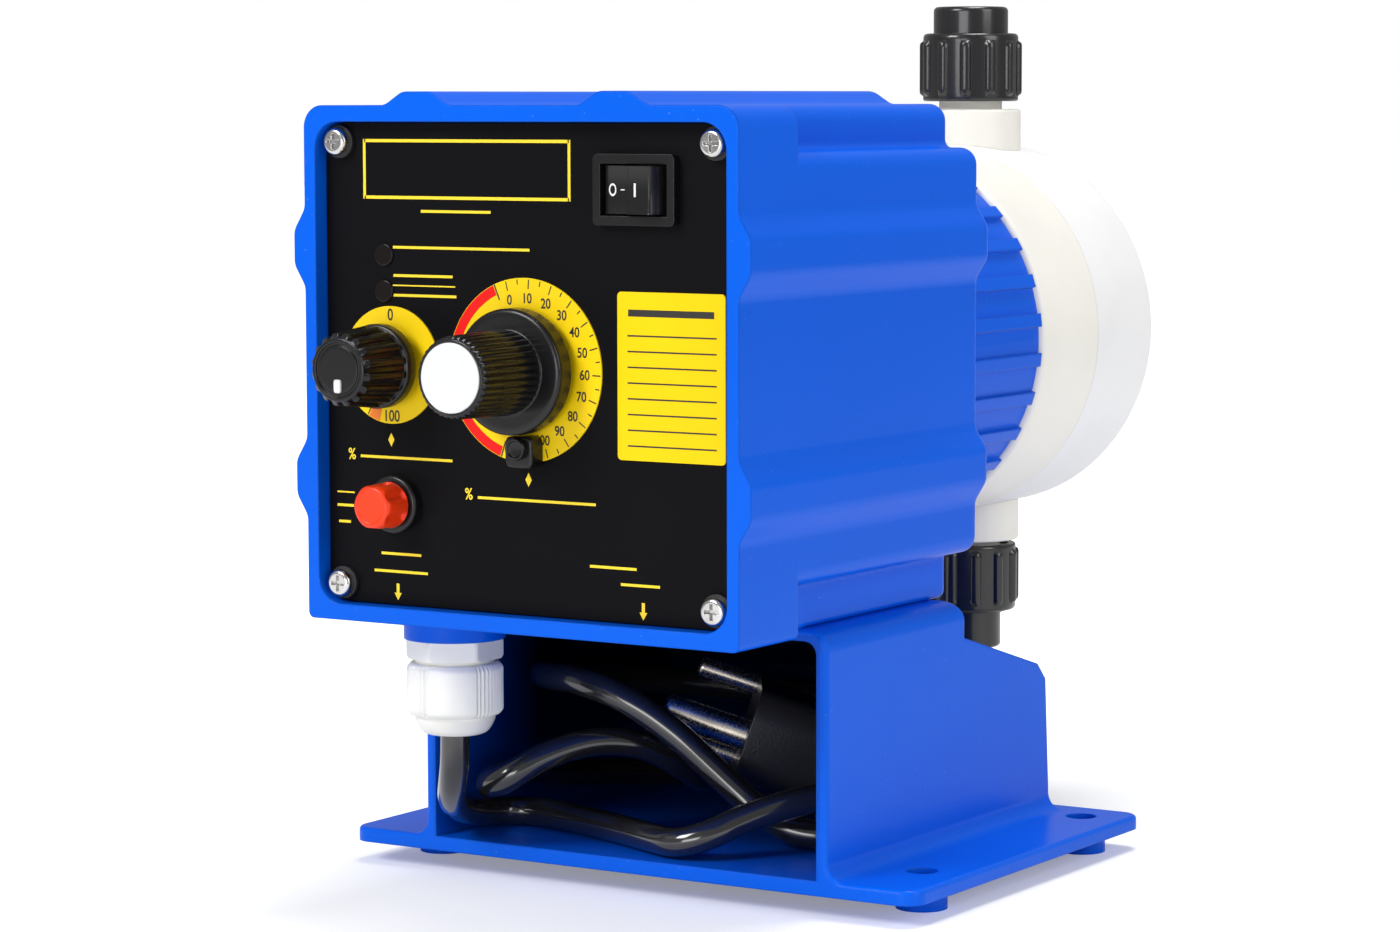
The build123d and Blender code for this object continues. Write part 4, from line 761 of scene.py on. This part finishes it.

# %% [markdown]
# ## The spring and the membrane
#
# Two pieces inside the pump give way as the plunger moves, and a real membrane then bulges at its
# middle and keeps its thickness. Here the coil spring is a circle carried along a helix, and the
# membrane a thin rubber disc clamped at its rim, each with a mesh of its own.

# %% A coil
def coil(name, turns, coil_r, wire_r, start, end, body, slot, along=32, around=12):
    """A round wire wound about the pump's own axis.

    At angle t the wire's middle is (R cos t, y, R sin t), with y in step with t. Its ring lies
    in the plane of the outward way n and of b = n x the line's way."""
    t = np.linspace(0, 2 * np.pi * turns, turns * along + 1)
    y = start + (end - start) * t / t[-1]
    line = np.stack([coil_r * np.cos(t), y, axis_z + coil_r * np.sin(t)], axis=1)
    n = np.stack([np.cos(t), 0 * t, np.sin(t)], axis=1)
    way = np.stack([-coil_r * np.sin(t), 0 * t + (end - start) / t[-1], coil_r * np.cos(t)],
                   axis=1)
    b = np.cross(n, way / np.linalg.norm(way, axis=1, keepdims=True))
    a = np.linspace(0, 2 * np.pi, around, endpoint=False)[None, :, None]
    points = line[:, None] + wire_r * (np.cos(a) * n[:, None] + np.sin(a) * b[:, None])
    return finish_mesh(name, points.reshape(-1, 3), grid_faces(len(t), around, capped=True),
                       body, finishes[slot])


# %% The spring and the membrane
spring_start, spring_seat = 9.7, 30.8
spring = coil("return_spring_coil", 6, 7.0, 0.7, spring_start + 0.7, spring_seat - 1.0, "pump",
              "spring_steel")
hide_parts("return_spring")
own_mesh(spring)
membrane_front, membrane_thickness, push_gap = 86.6, 1.6, 0.3
membrane = turned("membrane_disc", rounded_profile([
    (0, 0), (33.0, 0, 0.3), (33.0, membrane_thickness, 0.3), (0, membrane_thickness)],
    spacing=3.0), (0, membrane_front, axis_z), "front", "pump", "rubber_black", around=96)
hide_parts("membrane")
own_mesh(membrane)
print("spring", len(spring.data.polygons), "membrane", len(membrane.data.polygons))

# %% [markdown]
# ## Prints
#
# Dial scales, arrows and rules are screen prints, thinner than paper. Each is a set of flat
# faces a few hundredths of a millimetre over its plate: ring sectors, straight strokes, small
# polygons and figures. One function joins a colour's shapes to one piece.

# %% Flat shapes
def sector(middle, inner, outer, start, end, steps=60):
    """The part of a ring between two radii and two angles in degrees."""
    a = np.radians(np.linspace(start, end, steps + 1))
    rim = np.stack([np.cos(a), np.sin(a)], axis=1)
    i = np.arange(steps)
    return (np.concatenate([rim * inner, rim * outer]) + middle,
            np.stack([i, i + steps + 1, i + steps + 2, i + 1], axis=1).tolist())


def stroke(start, end, width):
    """A straight line of a width."""
    start, end = np.array(start, float), np.array(end, float)
    way = (end - start) / np.linalg.norm(end - start)
    side = np.array((-way[1], way[0])) * width / 2
    return np.array([start - side, end - side, end + side, start + side]), [[0, 1, 2, 3]]


def patch(*points):
    """A small polygon."""
    return np.array(points, float), [list(range(len(points)))]


def figures(words, x, z, height, narrow=0.86, weight=0.055):
    """Figures as flat faces, their middle at a place; a text curve made a mesh, then narrowed."""
    curve = bpy.data.curves.new("figures", "FONT")
    curve.body = words
    curve.align_x, curve.align_y = "CENTER", "CENTER"
    curve.size = height / 0.70
    curve.offset = weight
    holder = bpy.data.objects.new("figures", curve)
    bpy.context.scene.collection.objects.link(holder)
    bpy.context.view_layer.update()
    mesh = bpy.data.meshes.new_from_object(
        holder.evaluated_get(bpy.context.evaluated_depsgraph_get()))
    points = np.empty(len(mesh.vertices) * 3)
    mesh.vertices.foreach_get("co", points)
    faces = [list(face.vertices) for face in mesh.polygons]
    bpy.data.objects.remove(holder)
    bpy.data.curves.remove(curve)
    bpy.data.meshes.remove(mesh)
    points = points.reshape(-1, 3)[:, :2]
    points = points - (points.min(axis=0) + points.max(axis=0)) / 2
    return points * (narrow, 1.0) + (x, z), faces


def printed(name, shapes, front, body, material):
    """Shapes in (right, up) joined to one flat piece; front gives y, or y as a function of x.

    A face whose shoelace area is negative is turned round, so that all look forwards."""
    points, faces, count = [], [], 0
    for flat, sides in shapes:
        for side in sides:
            x, z = flat[side].T
            area = np.sum(x * np.roll(z, -1) - np.roll(x, -1) * z)
            faces.append([count + k for k in (side if area > 0 else side[::-1])])
        points.append(flat)
        count += len(flat)
    x, z = np.concatenate(points).T
    y = front(x) if callable(front) else np.full(len(x), front)
    return finish_mesh(name, np.stack([x, y, z], axis=1), faces, body, material,
                       outwards=False)


# %% Inks
ink = {
    "black": moulded("black_ink", (0.016, 0.014, 0.010), 0.5, 0.001, 0.05),
    "yellow": moulded("yellow_ink", (0.93, 0.68, 0.02), 0.45, 0.001, 0.05),
    "red": moulded("red_ink", (0.85, 0.010, 0.008), 0.4, 0.001, 0.05,
                   Specular_IOR_Level=0.2),
    "white": moulded("white_ink", (0.85, 0.85, 0.85), 0.4, 0.001, 0.05),
}
dial_y, print_y = -100.63, -100.23
stroke_middle = np.array((0.0, axis_z))
print("inks", len(ink))

# %% The stroke dial's scale
steps = np.arange(11)
places = 104.0 - 17.6 * steps
marks = [figures(str(10 * k), 15.9 * np.cos(a), axis_z + 15.9 * np.sin(a), 2.15)
         for k, a in zip(steps, np.radians(places))]
for k, a in enumerate(np.radians(np.linspace(104.0, -72.0, 21))):
    way = np.array((np.cos(a), np.sin(a)))
    start = 18.9 if k % 2 else 17.9
    marks.append(stroke(stroke_middle + way * start, stroke_middle + way * 20.0, 0.28))
for a in np.radians((113.0, -108.0)):
    way = np.array((np.cos(a), np.sin(a)))
    marks.append(stroke(stroke_middle + way * 16.6, stroke_middle + way * 20.2, 0.35))
printed("stroke_scale_marks", marks, dial_y, "pump", ink["black"])
printed("stroke_scale_arc", [sector(stroke_middle, 17.9, 20.2, 114.0, 251.0)], dial_y, "pump",
        ink["red"])
print("stroke scale from 0 to", 10 * steps[-1])

# %% The speed dial's scale
speed_middle = np.array((speed_x, axis_z))
printed("speed_scale_marks", [
    figures("0", speed_x, axis_z + 11.3, 2.6), figures("100", speed_x + 0.4, axis_z - 11.4, 2.5),
    stroke(speed_middle + np.array((-4.9, -8.4)), speed_middle + np.array((-6.4, -11.3)), 0.3)],
    dial_y, "pump", ink["black"])
start_mark = printed("speed_scale_start", [sector(speed_middle, 9.8, 13.1, -118.0, -104.0, 12)],
                     dial_y, "pump",
                     moulded("orange_ink", (0.83, 0.20, 0.015), 0.45, 0.001))
print("speed scale's start", len(start_mark.data.polygons), "faces")

# %% Pointers and rules on the panel
def diamond(x, z):
    return patch((x, z - 1.55), (x + 0.85, z), (x, z + 1.55), (x - 0.85, z))


def down_arrow(x, z):
    return patch((x, z - 1.9), (x + 1.0, z - 0.2), (x + 0.4, z - 0.2), (x + 0.4, z + 1.9),
                 (x - 0.4, z + 1.9), (x - 0.4, z - 0.2), (x - 1.0, z - 0.2))


def frame_line(x0, x1, z0, z1, width):
    """Four strokes that meet in a rectangle."""
    return [stroke((x0, z), (x1, z), width) for z in (z0, z1)] + [
        stroke((x, z0 - width / 2), (x, z1 + width / 2), width) for x in (x0, x1)]


thick, thin = 0.6, 0.3
rules = [diamond(-36.6, 106.0), diamond(0.7, 98.8), down_arrow(-35.1, 71.7),
         down_arrow(30.6, 71.6), figures("%", -47.6, 102.4, 2.5), figures("%", -15.4, 94.9, 2.5)]
rules += [stroke((x0, z), (x1, z), width) for x0, x1, z, width in (
    (-35.7, 1.3, 149.2, thick), (-35.6, -19.4, 142.9, thick), (-35.8, -18.7, 140.7, thin),
    (-35.8, -18.4, 138.5, thick), (-45.2, -19.8, 102.0, thick), (-13.0, 18.4, 94.2, thick),
    (-39.6, -28.6, 80.3, thick), (-41.6, -26.8, 76.3, thick), (16.8, 28.9, 80.7, thick),
    (24.8, 34.9, 77.2, thick), (-27.9, -9.0, 157.3, thick), (-51.9, -47.0, 93.6, 0.35),
    (-51.9, -47.3, 90.6, thick), (-51.5, -48.2, 86.9, thick))]
rules += frame_line(-43.4, 11.8, 160.3, 172.9, 0.7)
printed("panel_rules", rules, print_y, "pump", ink["yellow"])
lines = [stroke((27.2, 136.2), (49.0, 136.2), 1.5)]
lines += [stroke((27.0, z), (49.6, z), 0.35) for z in np.arange(107.5, 132.5, 3.4)]
printed("label_lines", lines, dial_y, "pump", ink["black"])
print("rules and pointers", len(rules), "label lines", len(lines))

# %% The switch's marks
def on_half(left_end, right_end):
    """The depth over x of a print on one half of the rocker, a few hundredths in front of it.

    The half is taken as a straight line through two places in the level frame (right, back)."""
    left, right = on_pivot([(*left_end, 0), (*right_end, 0)])
    return lambda x: left[1] + (x - left[0]) * (right[1] - left[1]) / (right[0] - left[0]) - 0.05


ring, ring_faces = sector((0.0, 0.0), 0.95, 1.38, 0.0, 360.0, 40)
switch_z = pivot[2]
printed("switch_off_mark", [(ring * (0.72, 1.0) + (23.9, switch_z), ring_faces),
                            stroke((26.1, switch_z), (27.2, switch_z), 0.22)],
        on_half((-7.3, -4.4), (0.1, -3.6)), "switch_rocker", ink["white"])
printed("switch_on_mark", [stroke((31.2, switch_z - 1.45), (31.2, switch_z + 1.45), 0.6)],
        on_half((0.3, -5.1), (7.3, -5.2)), "switch_rocker", ink["white"])
print("marks on the rocker at z", switch_z)

# %% [markdown]
# ## The floor
#
# A wide pale floor keeps the pump's shadow. To the camera alone it also glows, a quarter of full
# white near the pump and nine tenths from 0.8 m out, so that it meets the white world with no
# line.

# %% The floor
floor_half = 6.0
floor_mesh = bpy.data.meshes.new("floor")
corners = np.array([(-1, -1, 0), (1, -1, 0), (1, 1, 0), (-1, 1, 0)]) * floor_half
floor_mesh.from_pydata(corners.tolist(), [], [(0, 1, 2, 3)])
floor = bpy.data.objects.new("floor", floor_mesh)
bpy.context.scene.collection.objects.link(floor)
pale = Finish("pale_floor", Base_Color=(0.90, 0.90, 0.90), Roughness=0.6, Specular_IOR_Level=0.2,
              Emission_Strength=1.0)
away = pale.node("VectorMath", {"operation": "LENGTH"}, out=1, Vector=pale.place())
glow = pale.ramp(away, 0.18, 0.8, 0.26, 0.9) * pale.node("LightPath", out="Is Camera Ray")
pale.drive(Emission_Color=pale.node("CombineXYZ", X=glow, Y=glow, Z=glow))
dress(floor, pale.material)
print("floor", 2 * floor_half, "m wide")
